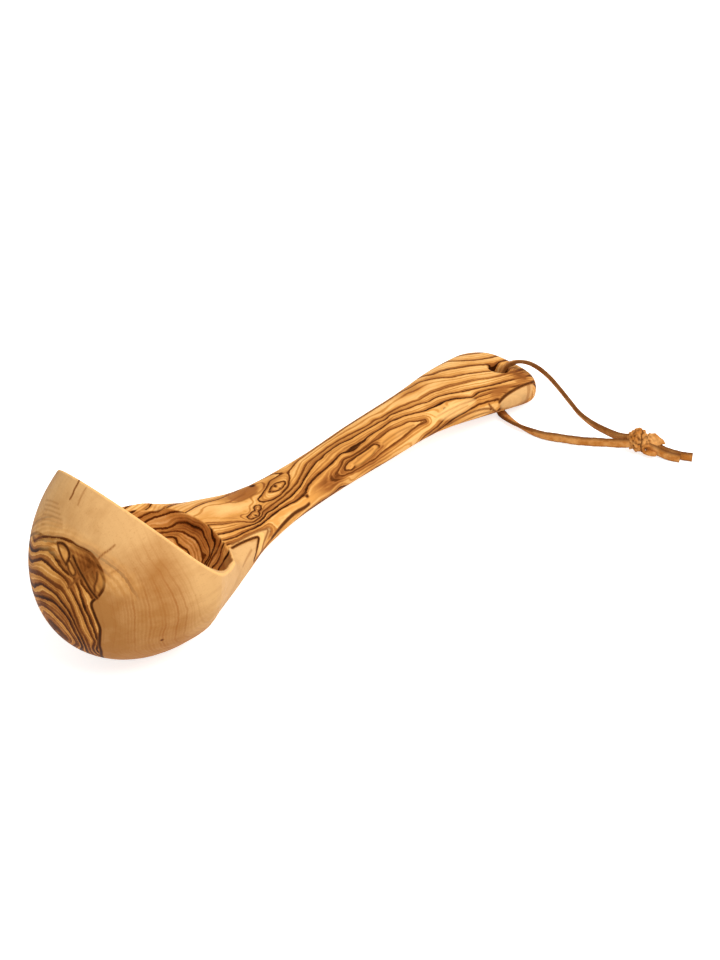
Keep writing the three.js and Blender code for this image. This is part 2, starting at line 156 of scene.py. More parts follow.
# Heartwood: place of each colour between pale and dark, and each region's late wood and width of lines
HEART_STOPS = ((0.0, "gold"), (0.25, "amber"), (0.55, "brown"), (0.75, "umber"), (1.0, "dark"))
HEART_LOOKS = {"handle": (0.38, 0.78), "hollow": (0.12, 0.85), "bowl": (0.5, 1.1)}

# Shares by which clouds, fine lines and streaks deepen the wood, and by which a faint mark browns it
CLOUD_SHARE = 0.58
FINE_SHARE = 0.34
TONE_SHARE = 0.2
FAINT_SHARE = 1.5
SAP_TONE_SHARE = -0.4

# Places of one colour: the colour, and its least and most share along the streaks
AREA_LOOKS = {
    "brown": ("brown", 0.4, 0.95),
    "umber": ("umber", 0.9, 0.95),
    "gold": ("gold", 0.6, 0.95),
    "amber": ("amber", 0.65, 0.95),
    "pale": ("sap", 0.8, 0.95),
}

# Ranges: the lowest and highest value, and what these become where that isn't 0 and 1
NOISE_RANGE = (0.2, 0.8)
PROFILE_RANGE = (-2.0, 4.0)
CHANCE_RANGE = (0.0, 1.0, 0.8, 1.0)
FADE_RANGE = (0.3, 0.55, 0.82, 1.0)
FINE_RANGE = (0.15, 0.75, 1.0, 0.0)
LUCK_RANGE = (0.0, 1.0, 0.25, 0.95)
TONE_RANGE = (0.42, 0.72)
SEAM_RANGE = (-0.3, 0.3)
WALL_RANGE = (-0.3, 0.5)
SAP_CLOUD_RANGE = (0.3, 0.7, -0.15, 0.45)
SAP_LINE_RANGE = (0.36, 0.6, 0.25, 0.8)
RIM_HIGHLIGHT_RANGE = (0.5, 1.3, 0.75, 0.0)
PATCH_LINE_RANGE = (0.35, 0.8, 0.95, 0.0)
AREA_STREAK_RANGE = (0.36, 0.6)
AREA_EDGE_RANGE = (-0.6, 0.9)
SPOT_RANGE = (-0.5, 0.4, 0.0, 0.95)
PORE_RANGE = (0.56, 0.75, 0.0, 0.35)
SATIN_RANGE = (0.0, 1.0, 0.44, 0.56)
RUB_RANGE = (0.38, 0.66)
CUT_AND_CREASE_SHADE_RANGE = (0.2, 1.0, 0.0, 0.85)

# Thong, in millimetres: its places count from the floor below the hole
HOLE_AT = 133.05
STRIP_STEP = 0.6

# Strip: uneven width as share, pace and start, and an edge's rounding as shares in and down and its darkness
STRIP_WAVES = ((0.03, 0.61, 0.0), (0.02, 1.7, 1.0))
EDGE_ROUND = ((0.0, 1.0, 1.0), (0.4, 0.3, 0.8), (1.4, 0.0, 0.45))
EDGE_EASE = 0.28
FACE_FLAT = 0.3
FACE_CROWN = 1.04

# Knot, lengths in millimetres and aim in degrees: creases as place and depth, bumps as height and pace
KNOT_PLACE = (9.9, -80.4, 7.0)
KNOT_AIM = 33.0
KNOT_REACH = 7.2
KNOT_BLEND = 1.4
KNOT_STEP = 0.28
KNOT_SOFTENING = 4
KNOT_CREASES = ((1.5, 0.9), (-2.4, 0.3), (4.0, 0.4))
KNOT_CREASE_WIDTH = 0.45
KNOT_LUMPS = ((0.7125, 0.55), (0.5225, 1.2))
KNOT_WANDER = ((1.1, 0.35),)
LOBE_FOLDS = ((0.25, 0.8),)
# Painted shade in the knot: its darkness where the surface is unmoved, and how fast it deepens as the surface
# is pressed in
CREASE_SHADE_BASE = 0.3
CREASE_SHADE_GAIN = 1.1

# Each route point has a place and the direction of the strip's wide side there
LOOP_ROUTE = [
    ((10.3, -79.2, 7.6), (-0.2, 0.1, 0.97)),
    ((7.6, -76.4, 7.5), (-0.2, 0.1, 0.97)),
    ((5.3, -71.7, 7.5), (-0.25, 0.1, 0.95)),
    ((4.0, -64.2, 8.0), (-0.3, 0.0, 0.95)),
    ((3.7, -57.3, 8.6), (-0.4, 0.0, 0.9)),
    ((4.4, -49.3, 10.0), (-0.5, 0.0, 0.86)),
    ((6.9, -41.0, 11.9), (-0.52, -0.1, 0.85)),
    ((9.0, -33.0, 14.4), (-0.52, -0.1, 0.85)),
    ((10.3, -25.6, 17.0), (-0.55, -0.12, 0.82)),
    ((10.2, -19.0, 19.3), (-0.6, -0.15, 0.78)),
    ((8.9, -13.0, 20.6), (-0.7, -0.25, 0.66)),
    ((6.3, -8.2, 20.4), (-0.76, -0.42, 0.5)),
    ((3.7, -4.9, 18.6), (-0.74, -0.6, 0.3)),
    ((1.5, -2.9, 14.8), (-0.72, -0.69, 0.0)),
    ((-0.1, -1.9, 10.6), (-0.9, -0.4, 0.0)),
    ((-1.5, -1.6, 6.6), (-0.98, 0.1, 0.0)),
    ((-2.6, -2.6, 3.2), (-0.85, 0.5, 0.0)),
    ((-5.4, -6.0, 1.5), (-0.76, 0.65, 0.0)),
    ((-9.4, -10.8, 1.6), (-0.76, 0.65, 0.0)),
    ((-12.5, -15.2, 2.2), (-0.8, 0.58, 0.1)),
    ((-14.4, -20.4, 2.7), (-0.88, 0.35, 0.3)),
    ((-15.2, -26.4, 2.8), (-0.8, 0.1, 0.6)),
    ((-14.8, -34.3, 2.7), (-0.45, 0.0, 0.9)),
    ((-13.2, -41.4, 2.7), (-0.2, 0.1, 0.97)),
    ((-9.9, -48.8, 3.0), (-0.05, 0.1, 1.0)),
    ((-6.3, -58.1, 4.0), (0.0, 0.1, 1.0)),
    ((-0.6, -68.0, 5.0), (0.0, 0.1, 1.0)),
    ((4.0, -76.6, 6.3), (0.0, 0.1, 1.0)),
    ((8.5, -81.6, 6.6), (0.0, 0.1, 1.0)),
]
LONG_TAIL_ROUTE = [
    ((12.9, -83.6, 5.8), (0.05, 0.05, 1.0)),
    ((14.8, -89.6, 3.9), (0.05, 0.05, 1.0)),
    ((16.6, -94.4, 2.8), (0.0, 0.0, 1.0)),
    ((19.0, -99.7, 2.4), (0.0, 0.0, 1.0)),
    ((21.5, -104.1, 2.4), (0.0, 0.0, 1.0)),
]
SHORT_TAIL_ROUTE = [
    ((11.0, -83.8, 5.4), (0.05, 0.05, 1.0)),
    ((12.8, -90.7, 3.6), (0.05, 0.05, 1.0)),
    ((14.5, -95.4, 2.6), (0.0, 0.0, 1.0)),
    ((16.7, -100.2, 2.4), (0.0, 0.0, 1.0)),
]

# Growth rings, traced: ring number and the pixels of the photograph that its line passes
HANDLE_LINES = [
    (0.5, [(233, 547), (243, 544), (252, 540.5), (259, 536.5), (258, 545), (256, 554)]),
    (1.0, [(229, 544), (240, 540), (250, 536), (260, 531), (268, 528), (266, 537), (263, 546)]),
    (2.0, [(226, 540), (238, 536), (250, 530), (262, 523.5), (270, 517), (280, 509.5), (290, 503.5)]),
    (2.0, [(300, 498), (305, 494), (308, 487), (312, 482), (320, 474), (330, 465), (337, 457.5)]),
    (2.0, [(345, 452), (352, 447.5), (362, 441), (370, 435), (380, 429), (390, 421.5), (400, 417.5)]),
    (2.0, [(410, 414.5), (425, 411), (435, 407), (445, 402), (455, 399), (465, 398), (473, 397)]),
    (3.0, [(272, 510), (280, 504.5), (290, 497.5), (300, 487), (305, 478), (310, 470), (317, 461.5)]),
    (3.0, [(325, 454), (333, 448), (340, 443.5), (350, 439), (360, 432.5), (370, 427), (380, 421.5)]),
    (3.0, [(390, 415), (400, 411), (408, 408.5), (415, 405.5), (421, 403.5), (428, 402), (433, 399)]),
    (3.0, [(440, 396.5), (450, 394), (460, 392.5), (470, 390), (480, 387.5), (490, 385.5), (498, 383.5)]),
    (4.0, [(262, 512), (270, 506), (280, 499), (290, 491), (297, 483), (302, 474), (306, 466.5)]),
    (4.0, [(311, 460.5), (318, 455), (328, 447), (338, 440.5), (350, 434), (360, 429), (370, 423.5)]),
    (4.0, [(380, 418), (390, 412), (400, 406.5), (410, 402.5), (418, 400), (425, 396), (432, 392.5)]),
    (4.0, [(440, 390), (450, 386.5), (458, 384.5), (468, 382), (478, 379.5), (490, 378), (500, 376)]),
    (5.0, [(420, 382), (430, 379.5), (440, 378), (452, 377), (465, 374), (478, 372.5), (490, 371)]),
    (6.0, [(432, 374.5), (440, 371.5), (450, 369), (460, 367.5), (470, 366), (480, 365), (488, 364.5)]),
    (7.0, [(448, 361.5), (460, 361), (470, 360.5), (480, 359.5), (490, 358)]),
    (1.0, [(352, 456), (362, 450), (372, 442.5), (380, 438), (390, 430), (400, 426.5), (408, 422)]),
    (1.0, [(418, 421), (426, 421), (418, 425), (410, 430.5), (400, 439), (390, 447), (380, 455)]),
    (1.0, [(370, 462), (360, 468), (350, 473), (343, 475.5), (337, 474), (341, 466)]),
    (0.0, [(347, 463), (356, 456), (366, 450), (374, 444), (379, 446), (372, 455), (362, 463)]),
    (0.0, [(352, 470), (345, 470)]),
    (1.5, [(352, 477), (365, 469), (385, 457), (400, 446), (420, 433), (437, 421), (452, 411)]),
    (1.6, [(330, 489), (318, 491), (340, 481), (285, 515), (275, 524), (296, 507), (310, 499)]),
    (1.0, [(425, 436), (437, 427), (445, 418.5), (455, 411), (465, 404.5), (475, 398.5), (484, 395),
           (493, 392)]),
    (0.0, [(428, 437), (440, 429), (450, 422), (458, 416), (468, 411), (478, 405.5), (487, 402.5),
           (497, 399.5)]),
    (4.5, [(210, 508), (225, 509), (240, 508), (250, 502), (220, 515), (235, 513)]),
    (5.0, [(257, 500), (263, 502), (272, 500), (281, 495), (288, 487), (290, 478), (289, 473)]),
    (5.0, [(280, 475), (270, 481), (265, 489), (259, 497)]),
    (6.0, [(268, 492), (275, 492), (282, 489), (286, 483), (283, 481), (275, 483), (270, 488)]),
    (7.0, [(275, 487)]),
    (5.0, [(249, 516), (253, 512), (260, 510), (258, 516), (252, 519)]),
    (6.0, [(255, 515.5)]),
    (4.7, [(302, 461), (325, 444), (345, 431), (365, 419), (385, 407), (405, 393)]),
]
HOLLOW_LINES = [
    (0.0, [(166, 537), (172, 537), (176, 539), (177, 542.5), (182, 546.5), (187, 551), (190, 556)]),
    (1.0, [(161, 532.5), (168, 531.5), (176, 531), (182, 532), (187, 535), (192, 537.5), (196, 539.5)]),
    (1.0, [(199, 544), (202, 550), (203.5, 556), (202, 563)]),
    (2.0, [(157, 528.5), (165, 527.5), (172, 526), (177, 523), (183, 522.5), (188, 524), (193, 527)]),
    (2.0, [(200, 529), (203, 531.5), (205, 537), (208, 542), (210, 548), (210, 556), (206, 562)]),
    (3.0, [(147, 520.5), (155, 517), (163, 514.5), (168, 512.5)]),
    (3.0, [(212, 531), (213, 538), (215, 541), (214, 548), (211, 556), (207, 563)]),
    (4.0, [(142, 516.5), (150, 513), (158, 511)]),
    (4.0, [(219, 532), (221, 537), (220, 543), (217, 550), (213, 558), (209, 565)]),
    (5.0, [(134, 511), (140, 507.5), (147, 506)]),
    (5.0, [(226, 538), (224, 543), (221.5, 549), (220, 556), (217, 562), (212, 568)]),
    (6.0, [(124, 503.5), (130, 506)]),
    (6.0, [(231, 548), (229, 553), (225, 559), (221, 565), (218, 569)]),
    (6.6, [(232, 557), (228, 565)]),
]
BOWL_LINES = [
    (0.0, [(52, 624), (60, 632), (67, 639)]),
    (1.0, [(41, 604), (50, 609.5), (57, 616), (64, 624), (70, 632), (76, 641)]),
    (2.0, [(37, 596), (44, 598), (52, 600.5), (58, 605.5), (64, 612), (70, 621), (76, 633), (82, 645)]),
    (3.0, [(34, 585), (42, 584), (50, 588.5), (57, 595), (62, 602), (68, 610), (74, 621), (80, 633)]),
    (4.0, [(33, 571), (41, 575), (50, 581), (57, 586), (63, 591), (67, 597), (71, 605), (75, 615)]),
    (4.0, [(79, 625), (84, 635), (90, 648)]),
    (5.0, [(32, 562), (36, 560), (42, 559.5), (47, 563), (54, 570), (62, 576.5), (67, 582), (70, 587)]),
    (5.0, [(75, 597), (80, 608), (85, 620), (89, 630), (95, 642)]),
    (6.0, [(34, 551), (40, 549.5), (48, 549.5), (55, 558), (60, 566), (66, 573), (73, 578), (78, 586)]),
    (6.0, [(81, 596), (84, 606), (89, 617), (93, 628), (97, 638)]),
    (7.0, [(35, 540), (42, 539), (50, 541), (58, 545), (71, 552), (73, 562), (79, 575), (83, 585)]),
    (7.0, [(90, 594), (94, 604), (97, 615), (101, 627), (102, 640), (102, 651)]),
    (9.0, [(103, 550), (112, 567), (117, 590), (120, 615), (121, 650)]),
    (10.0, [(117, 553), (127, 572), (133, 593), (136, 615), (136, 650)]),
    (11.0, [(133, 560), (146, 580), (153, 602), (158, 625)]),
    (13.0, [(160, 560), (178, 585), (188, 610), (185, 635)]),
    (15.0, [(205, 585), (215, 600), (225, 585), (235, 565)]),
]

# Heartwood patch, seen from the bowl's front: millimetres left of the middle and above the floor
PATCH_OUTLINE = [
    (20, 63), (12, 66.5), (5, 69.5), (-1, 71.5), (-6, 71), (-12, 70.5), (-17, 67.5), (-20.5, 63),
    (-21.5, 59), (-20.5, 55.5), (-18.5, 52), (-20, 47), (-21.6, 41), (-21, 36), (-19.5, 30),
    (-17, 22), (-8, 9), (8, 9), (22, 22), (30, 38), (29, 53),
]

# Places of one colour, traced: the pixels of the photograph round their edge
AREAS = {
    "umber": [
        [(69, 546), (78, 548), (88, 557), (98, 568), (104, 579), (104, 588), (97, 598), (91, 591),
         (85, 580), (78, 568), (73, 556)],
    ],
    "brown": [
        [(490, 392), (498, 387), (508, 384), (514, 386), (506, 391.5), (499, 397), (492, 399)],
        [(224, 497), (232, 490), (243, 485), (254, 484), (259, 487), (257, 493), (248, 499), (237, 503)],
        [(513, 374), (520, 373), (527, 375), (527, 381), (519, 384), (513, 380)],
    ],
    "gold": [
        [(229, 546), (243, 538.5), (256, 532), (266, 528.5), (271, 528), (268, 537), (265, 545),
         (261, 552), (257, 557), (258, 547), (259, 537.5), (248, 541), (240, 544.5), (232, 549)],
        [(434, 419), (440, 411), (449, 404.5), (458, 401), (470, 398), (478, 400), (470, 408), (458, 415),
         (447, 420)],
    ],
    "amber": [
        [(353, 464), (360, 457), (368, 450.5), (376, 445.5), (379, 447), (373, 454), (365, 461), (357, 467)],
        [(97, 572), (101, 576), (103.5, 584), (100, 590), (95, 592), (94, 586), (97, 580)],
        [(57.5, 543), (63, 543), (68, 548.5), (70, 556), (66, 564.5), (62, 558), (59, 550)],
        [(70, 561), (73, 566), (76.5, 573), (73, 577), (69, 571), (67.5, 565)],
        [(377, 444), (386, 434), (398, 428), (410, 423), (417, 424), (410, 430), (398, 438), (388, 446)],
    ],
    "pale": [
        [(499.5, 402), (503, 397.5), (510, 392), (520, 386.5), (528, 383.5), (534, 383), (533, 392),
         (529, 399), (521, 405), (510, 409), (501, 410)],
        [(233, 550), (240, 546), (248, 542.5), (256, 539.5), (257.5, 540), (256.5, 547), (255, 554),
         (252, 561), (246, 566), (240, 562), (236, 556)],
    ],
}

# Sapwood inside the hollow, beside the handle, painted in the deeper honey colour as painted shade
SHADED_WALL = [(229, 554), (233, 549), (236, 556), (234, 564), (228, 570), (221, 570), (224, 562)]

# Thin dark marks: width in millimetres, strength and the pixels that they pass
STROKES = [
    (0.6, 0.75, [(80, 479), (77, 485), (74, 490), (73, 494), (70, 499)]),
    (0.4, 0.4, [(86, 488), (83, 493), (80, 499), (78, 505)]),
    (0.4, 0.55, [(115, 545), (108, 551), (104, 553), (98, 559)]),
    (0.7, 0.7, [(68, 588), (75, 581), (83, 575), (92, 569)]),
    (0.4, 0.3, [(110, 573), (118, 570)]),
    (0.6, 0.25, [(46, 500), (52, 501), (58, 504)]),
    (0.6, 0.25, [(45, 504.5), (51, 505.5), (59, 509)]),
    (0.6, 0.25, [(44, 509), (50, 510), (60, 514.5)]),
    (0.6, 0.22, [(43, 514), (50, 515), (61, 519.5)]),
    (0.6, 0.22, [(42, 519), (50, 520), (62, 524)]),
    (0.6, 0.2, [(41, 524), (50, 525), (62, 528)]),
    (1.4, 0.9, [(272, 538), (280, 528), (288, 519), (296, 512), (306, 507), (309, 504)]),
    (1.3, 0.9, [(499.5, 402), (503, 397.5), (510, 392), (520, 386.5), (528, 383.5), (534, 381.5)]),
    (0.8, 0.85, [(57.5, 543), (59, 550), (62, 558), (66, 564.5)]),
    (1.1, 0.95, [(57.5, 543), (63, 543), (68, 548.5), (70, 556), (66, 564.5)]),
    (1.1, 0.95, [(73, 556), (78, 568), (85, 580), (91, 591), (97, 598)]),
    (0.9, 0.85, [(97, 572), (97, 580), (94, 586), (95, 592)]),
    (0.8, 0.85, [(70, 561), (73, 566), (76.5, 573), (73, 577), (69, 571), (67.5, 565)]),
    (1.0, 0.95, [(232, 548), (240, 543.5), (248, 540), (255, 537.5), (259, 536.8), (258.5, 541),
                 (257.5, 547), (256, 554), (254, 560)]),
    (0.8, 0.55, [(231.5, 544.5), (243, 538), (255, 532), (262, 529.5), (269, 528.7), (266, 537),
                 (263, 545), (262, 550)]),
    (0.6, 0.5, [(224, 497), (232, 491), (243, 488), (255, 484)]),
    (0.6, 0.5, [(226, 502), (236, 503), (248, 498), (257, 492)]),
    (1.2, 0.6, [(272, 538), (266, 546), (260, 554), (254, 562)]),
    (1.0, 0.3, [(251.5, 550), (247, 558), (243, 566)]),
    (0.5, 0.4, [(354, 464), (364, 455.5), (373, 448.5)]),
    (0.6, 0.4, [(383, 443), (393, 435), (404, 429), (414, 425)]),
    (0.6, 0.3, [(381, 448), (392, 440), (403, 433), (412, 427.5)]),
    (0.5, 0.3, [(438, 416), (452, 408.5), (464, 403), (475, 400)]),
    (0.5, 0.3, [(445, 418), (457, 411), (468, 405.5)]),
    (0.9, 0.6, [(448, 425), (460, 418), (472, 412), (484, 408.5), (492, 409)]),
    (0.7, 0.5, [(455, 426), (468, 419), (482, 413.5), (494, 411)]),
    (0.9, 0.7, [(489, 404), (492, 408.5), (496, 412)]),
    (2.0, 0.3, [(528.5, 384.5), (529, 390), (528, 396), (526, 402)]),
    (2.4, 0.5, [(512.5, 372), (518, 374.5), (524, 378)]),
    (1.6, 0.25, [(501, 409.5), (510, 408), (519, 404.5), (526, 401)]),
]

# Brown clouds in the heartwood: pixel, millimetres of reach along, across and up, and strength
CLOUDS = [
    ((240, 496), (14, 3.5, 8), 0.8),
    ((268, 484), (6, 4, 8), 0.5),
    ((333, 481), (9, 4, 5), 0.9),
    ((236, 517), (9, 4, 6), 0.35),
    ((268, 510), (7, 3, 6), 0.5),
    ((330, 452), (20, 3, 6), 0.25),
    ((412, 391), (10, 3, 6), 0.7),
    ((372, 464), (14, 2.5, 5), 0.5),
    ((190, 525), (10, 8, 3), 0.7),
    ((87, 565), (8, 8, 9), 0.95),
    ((62, 612), (8, 6, 8), 0.6),
    ((520, 375), (5, 6, 5), 0.8),
    ((500, 391), (6, 3, 5), 0.5),
    ((130, 625), (10, 12, 14), 0.3),
    ((162, 640), (4, 4, 4), 0.6),
]

# Dark pin knots and branch stubs: pixel of the photograph and radius in millimetres
SPOTS = [
    ((252, 486), 1.5),
    ((275, 486), 0.9),
    ((280.5, 488.5), 0.7),
    ((270, 491.5), 0.8),
    ((256, 515.5), 0.8),
    ((307, 496), 0.9),
    ((491, 409), 0.7),
    ((424, 421), 0.5),
    ((162, 640), 0.7),
]


def linear(code):
    """Linear RGB of an sRGB hex colour."""
    channels = [int(code[i : i + 2], 16) / 255 for i in (1, 3, 5)]
    return [c / 12.92 if c <= 0.04045 else ((c + 0.055) / 1.055) ** 2.4 for c in channels]


def colour_property(name, description, code):
    return bpy.props.FloatVectorProperty(
        name=name,
        description=description,
        subtype="COLOR",
        size=3,
        min=0,
        max=1,
        default=linear(code),
    )


class WoodSettings(bpy.types.PropertyGroup):
    mesh_step: bpy.props.FloatProperty(
        name="Mesh step",
        description="Spacing of the carved surface's points",
        default=0.6 * MM,
        unit="LENGTH",
        precision=5,
    )
    gold: colour_property("Gold heartwood", "Palest heartwood between two rings", "#F6C078")
    amber: colour_property("Amber heartwood", "Deeper heartwood between two rings", "#D8964A")
    brown: colour_property("Brown heartwood", "Late wood beside a dark ring", "#A0602A")
    umber: colour_property("Umber heartwood", "Darkest late wood", "#6E3A12")
    dark: colour_property("Dark ring", "Black-brown line of a ring", "#2C1002")
    sap: colour_property("Sapwood", "Pale sapwood", "#D9A96E")
    # Honey is also the painted shade on the hollow's sapwood wall
    honey: colour_property("Honey sapwood", "Deeper sapwood", "#B07940")


class ThongSettings(bpy.types.PropertyGroup):
    width: bpy.props.FloatProperty(
        name="Width", description="Width of the leather strip", default=4.5 * MM, unit="LENGTH", precision=5
    )
    thickness: bpy.props.FloatProperty(
        name="Thickness", description="Thickness of the leather", default=1.9 * MM, unit="LENGTH", precision=5
    )
    grain: colour_property("Grain side", "Tan of the smooth grain side", "#B26C28")
    worn: colour_property("Worn grain", "Paler rubbed places", "#DA9C58")
    # The cut edges' colour also paints shade into the knot's creases
    edge: colour_property("Cut edge", "Dark cut edges", "#582E0C")


class StageSettings(bpy.types.PropertyGroup):
    floor: colour_property("Floor", "Pale floor", "#F2F0EC")
    key_power: bpy.props.FloatProperty(
        name="Key light", description="Power of the large soft light", default=11.5, unit="POWER"
    )
    sky: bpy.props.FloatProperty(
        name="Sky", description="Strength of the even light from all round", default=0.56
    )


# Nodes


def add(tree, kind, inputs=(), stops=(), **settings):
    """Adds a node with its settings and colour stops, and links or sets its inputs, by name or in order.

    A node among the inputs stands for its first output in use, and a colour gets full opacity.
    """
    node = tree.nodes.new(kind)
    for name, value in settings.items():
        setattr(node, name, value)
    for i, (place, colour) in enumerate(stops):
        elements = node.color_ramp.elements
        stop = elements[i] if i < len(elements) else elements.new(place)
        stop.position = place
        stop.color = (*colour, 1)
    for key, value in inputs.items() if isinstance(inputs, dict) else enumerate(inputs):
        if isinstance(value, bpy.types.Node):
            value = next(socket for socket in value.outputs if socket.enabled)
        if isinstance(value, bpy.types.NodeSocket):
            tree.links.new(value, node.inputs[key])
        else:
            node.inputs[key].default_value = (*value, 1) if isinstance(value, Color) else value
    return node


def grain_pattern(tree, size, detail, roughness):
    """Soft uneven pattern of so many millimetres along and across the grain."""
    along, across = size
    place = add(tree, "ShaderNodeTexCoord").outputs["Object"]
    counts = [1 / (length * MM) for length in (along, across, across)]
    counted = add(tree, "ShaderNodeVectorMath", [place, counts], operation="MULTIPLY")
    pattern = {"Vector": counted, "Scale": 1, "Detail": detail, "Roughness": roughness}
    return add(tree, "ShaderNodeTexNoise", pattern)


def new_material(name):
    material = bpy.data.materials.new(name)
    material.use_nodes = True
    material.node_tree.nodes.clear()
    return material


# Meshes and pieces


def even_mesh(source, step, softening=0):
    """A CAD solid's surface in small even faces, softened in so many rounds."""
    copy = bpy.data.objects.new("even_copy", source.data.copy())
    bpy.context.scene.collection.objects.link(copy)
    remesh = copy.modifiers.new("even", "REMESH")
    remesh.mode = "VOXEL"
    remesh.voxel_size = step
    if softening:
        copy.modifiers.new("soft", "SMOOTH").iterations = softening
    graph = bpy.context.evaluated_depsgraph_get()
    mesh = bpy.data.meshes.new_from_object(copy.evaluated_get(graph))
    bpy.data.objects.remove(copy)
    mesh.polygons.foreach_set("use_smooth", [True] * len(mesh.polygons))
    mesh.materials.clear()
    return mesh


def mesh_points(mesh):
    """The places of a mesh's points, in metres."""
    points = np.empty(len(mesh.vertices) * 3)
    mesh.vertices.foreach_get("co", points)
    return points.reshape(-1, 3)


def write_layer(mesh, name, values):
    """Gives each point of a mesh a value that its material reads."""
    mesh.attributes.new(name, "FLOAT", "POINT").data.foreach_set("value", values)


def new_piece(name, mesh, material, body, node):
    """Puts a mesh into the scene in place of a CAD node."""
    mesh.materials.append(material)
    piece = bpy.data.objects.new(name, mesh)
    bpy.context.scene.collection.objects.link(piece)
    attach(piece, body)
    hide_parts(node)
    return piece


# Sight lines of the photograph


def sight():
    """The camera's place and its right, up and forward directions."""
    turn = math.radians(CAMERA_TURN)
    dip = math.radians(CAMERA_DIP)
    forward = Vector((math.sin(turn) * math.cos(dip), math.cos(turn) * math.cos(dip), -math.sin(dip)))
    right = forward.cross(Vector((0, 0, 1))).normalized()
    return Vector(CAMERA_PLACE) * MM, right, right.cross(forward), forward


def seen(tree, pixels):
    """Places on the wood, in millimetres, that pixels of the photograph show."""
    eye, right, up, forward = sight()
    reach = CAMERA_LENS / CAMERA_SENSOR * PICTURE_WIDE
    found = []
    for x, y in pixels:
        ray = forward + right * ((x - PICTURE_WIDE / 2) / reach) + up * ((PICTURE_HIGH / 2 - y) / reach)
        hit = tree.ray_cast(eye, ray.normalized())[0]
        if hit is not None:
            found.append(hit / MM)
    return np.array(found, float).reshape(-1, 3)


def filled(pixels):
    """A traced line's pixels with more between them, so that no gap is wide."""
    line = [pixels[0]]
    for (x0, y0), (x1, y1) in zip(pixels, pixels[1:]):
        pieces = max(1, math.ceil(math.hypot(x1 - x0, y1 - y0) / TRACE_GAP))
        shares = [i / pieces for i in range(1, pieces + 1)]
        line.extend((x0 + (x1 - x0) * share, y0 + (y1 - y0) * share) for share in shares)
    return line


def rounded(pixels, closed):
    """A traced line with its corners cut, so that it bends as grain does."""
    for _ in range(CORNER_ROUNDS):
        after = [*pixels[1:], pixels[0]] if closed else pixels[1:]
        cuts = []
        for (x0, y0), (x1, y1) in zip(pixels, after):
            for share in (CORNER_CUT, 1 - CORNER_CUT):
                cuts.append((x0 + (x1 - x0) * share, y0 + (y1 - y0) * share))
        pixels = cuts if closed else [pixels[0], *cuts, pixels[-1]]
    return pixels


# Carved surface


def sharp_places(source):
    """Points along the sharp edges of a CAD mesh, about a millimetre apart."""
    work = bmesh.new()
    work.from_mesh(source.data)
    bmesh.ops.remove_doubles(work, verts=work.verts, dist=WELD * MM)
    places = []
    for edge in work.edges:
        if len(edge.link_faces) == 2 and edge.calc_face_angle() > SHARP_ANGLE:
            a, b = (v.co.copy() for v in edge.verts)
            steps = max(1, int((b - a).length / MM))
            places.extend(a.lerp(b, i / steps) for i in range(steps + 1))
    work.free()
    return places


def smoothed(points, links, share, rounds):
    """Points pulled towards the middle of their neighbours and back, so that the shape doesn't shrink."""
    a, b = links.T
    count = len(points)
    degree = np.bincount(links.ravel(), minlength=count)[:, None]
    for pull in PULL_AND_PUSH * rounds:
        sums = [
            np.bincount(a, points[b, axis], count) + np.bincount(b, points[a, axis], count)
            for axis in range(3)
        ]
        points = points + pull * share[:, None] * (np.stack(sums, axis=1) / degree - points)
    return points


def carved_mesh(source, step):
    """The CAD solid's surface as an even mesh, with its facets smoothed away and its edges eased."""
    mesh = even_mesh(source, step)
    places = sharp_places(source)
    edges_near = KDTree(len(places))
    for i, place in enumerate(places):
        edges_near.insert(place, i)
    edges_near.balance()
    points = mesh_points(mesh)
    away = np.array([edges_near.find(p)[2] for p in points]) / MM
    links = np.empty(len(mesh.edges) * 2, int)
    mesh.edges.foreach_get("vertices", links)
    links = links.reshape(-1, 2)
    open_share = np.clip((away - EDGE_STRIP) / EDGE_BLEND, 0, 1)
    points = smoothed(points, links, open_share, FACET_ROUNDS)
    points = smoothed(points, links, np.ones(len(points)), EASING_ROUNDS)
    mesh.vertices.foreach_set("co", points.ravel())
    mesh.update()
    write_layer(mesh, "edge_gap", away)
    return mesh


# Figure of the wood


def ring_field(tree, lines, points):
    """Ring numbers in a smooth field through the traced lines, and how fast they grow per millimetre."""
    traced = [(seen(tree, filled(pixels)), number) for number, pixels in lines]
    places = np.concatenate([line for line, number in traced])
    numbers = np.concatenate([np.full(len(line), number) for line, number in traced])
    count = len(places)
    apart = np.sqrt(((places[:, None] - places[None]) ** 2).sum(-1) + FIELD_EASE**2)
    system = np.zeros((count + 4, count + 4))
    system[:count, :count] = apart - FIELD_SLACK * np.eye(count)
    system[:count, count] = 1
    system[:count, count + 1 :] = places
    system[count:, :count] = system[:count, count:].T
    weights = np.linalg.solve(system, np.concatenate([numbers, np.zeros(4)]))
    pulls, level, lean = weights[:count], weights[count], weights[count + 1 :]
    rings = np.empty(len(points))
    rate = np.empty(len(points))
    for first in range(0, len(points), BATCH):
        part = slice(first, first + BATCH)
        step = points[part, None] - places[None]
        far = np.sqrt((step**2).sum(-1) + FIELD_EASE**2)
        rings[part] = far @ pulls + level + points[part] @ lean
        slope = ((pulls / far)[:, :, None] * step).sum(1) + lean
        rate[part] = np.linalg.norm(slope, axis=1)
    return rings, rate


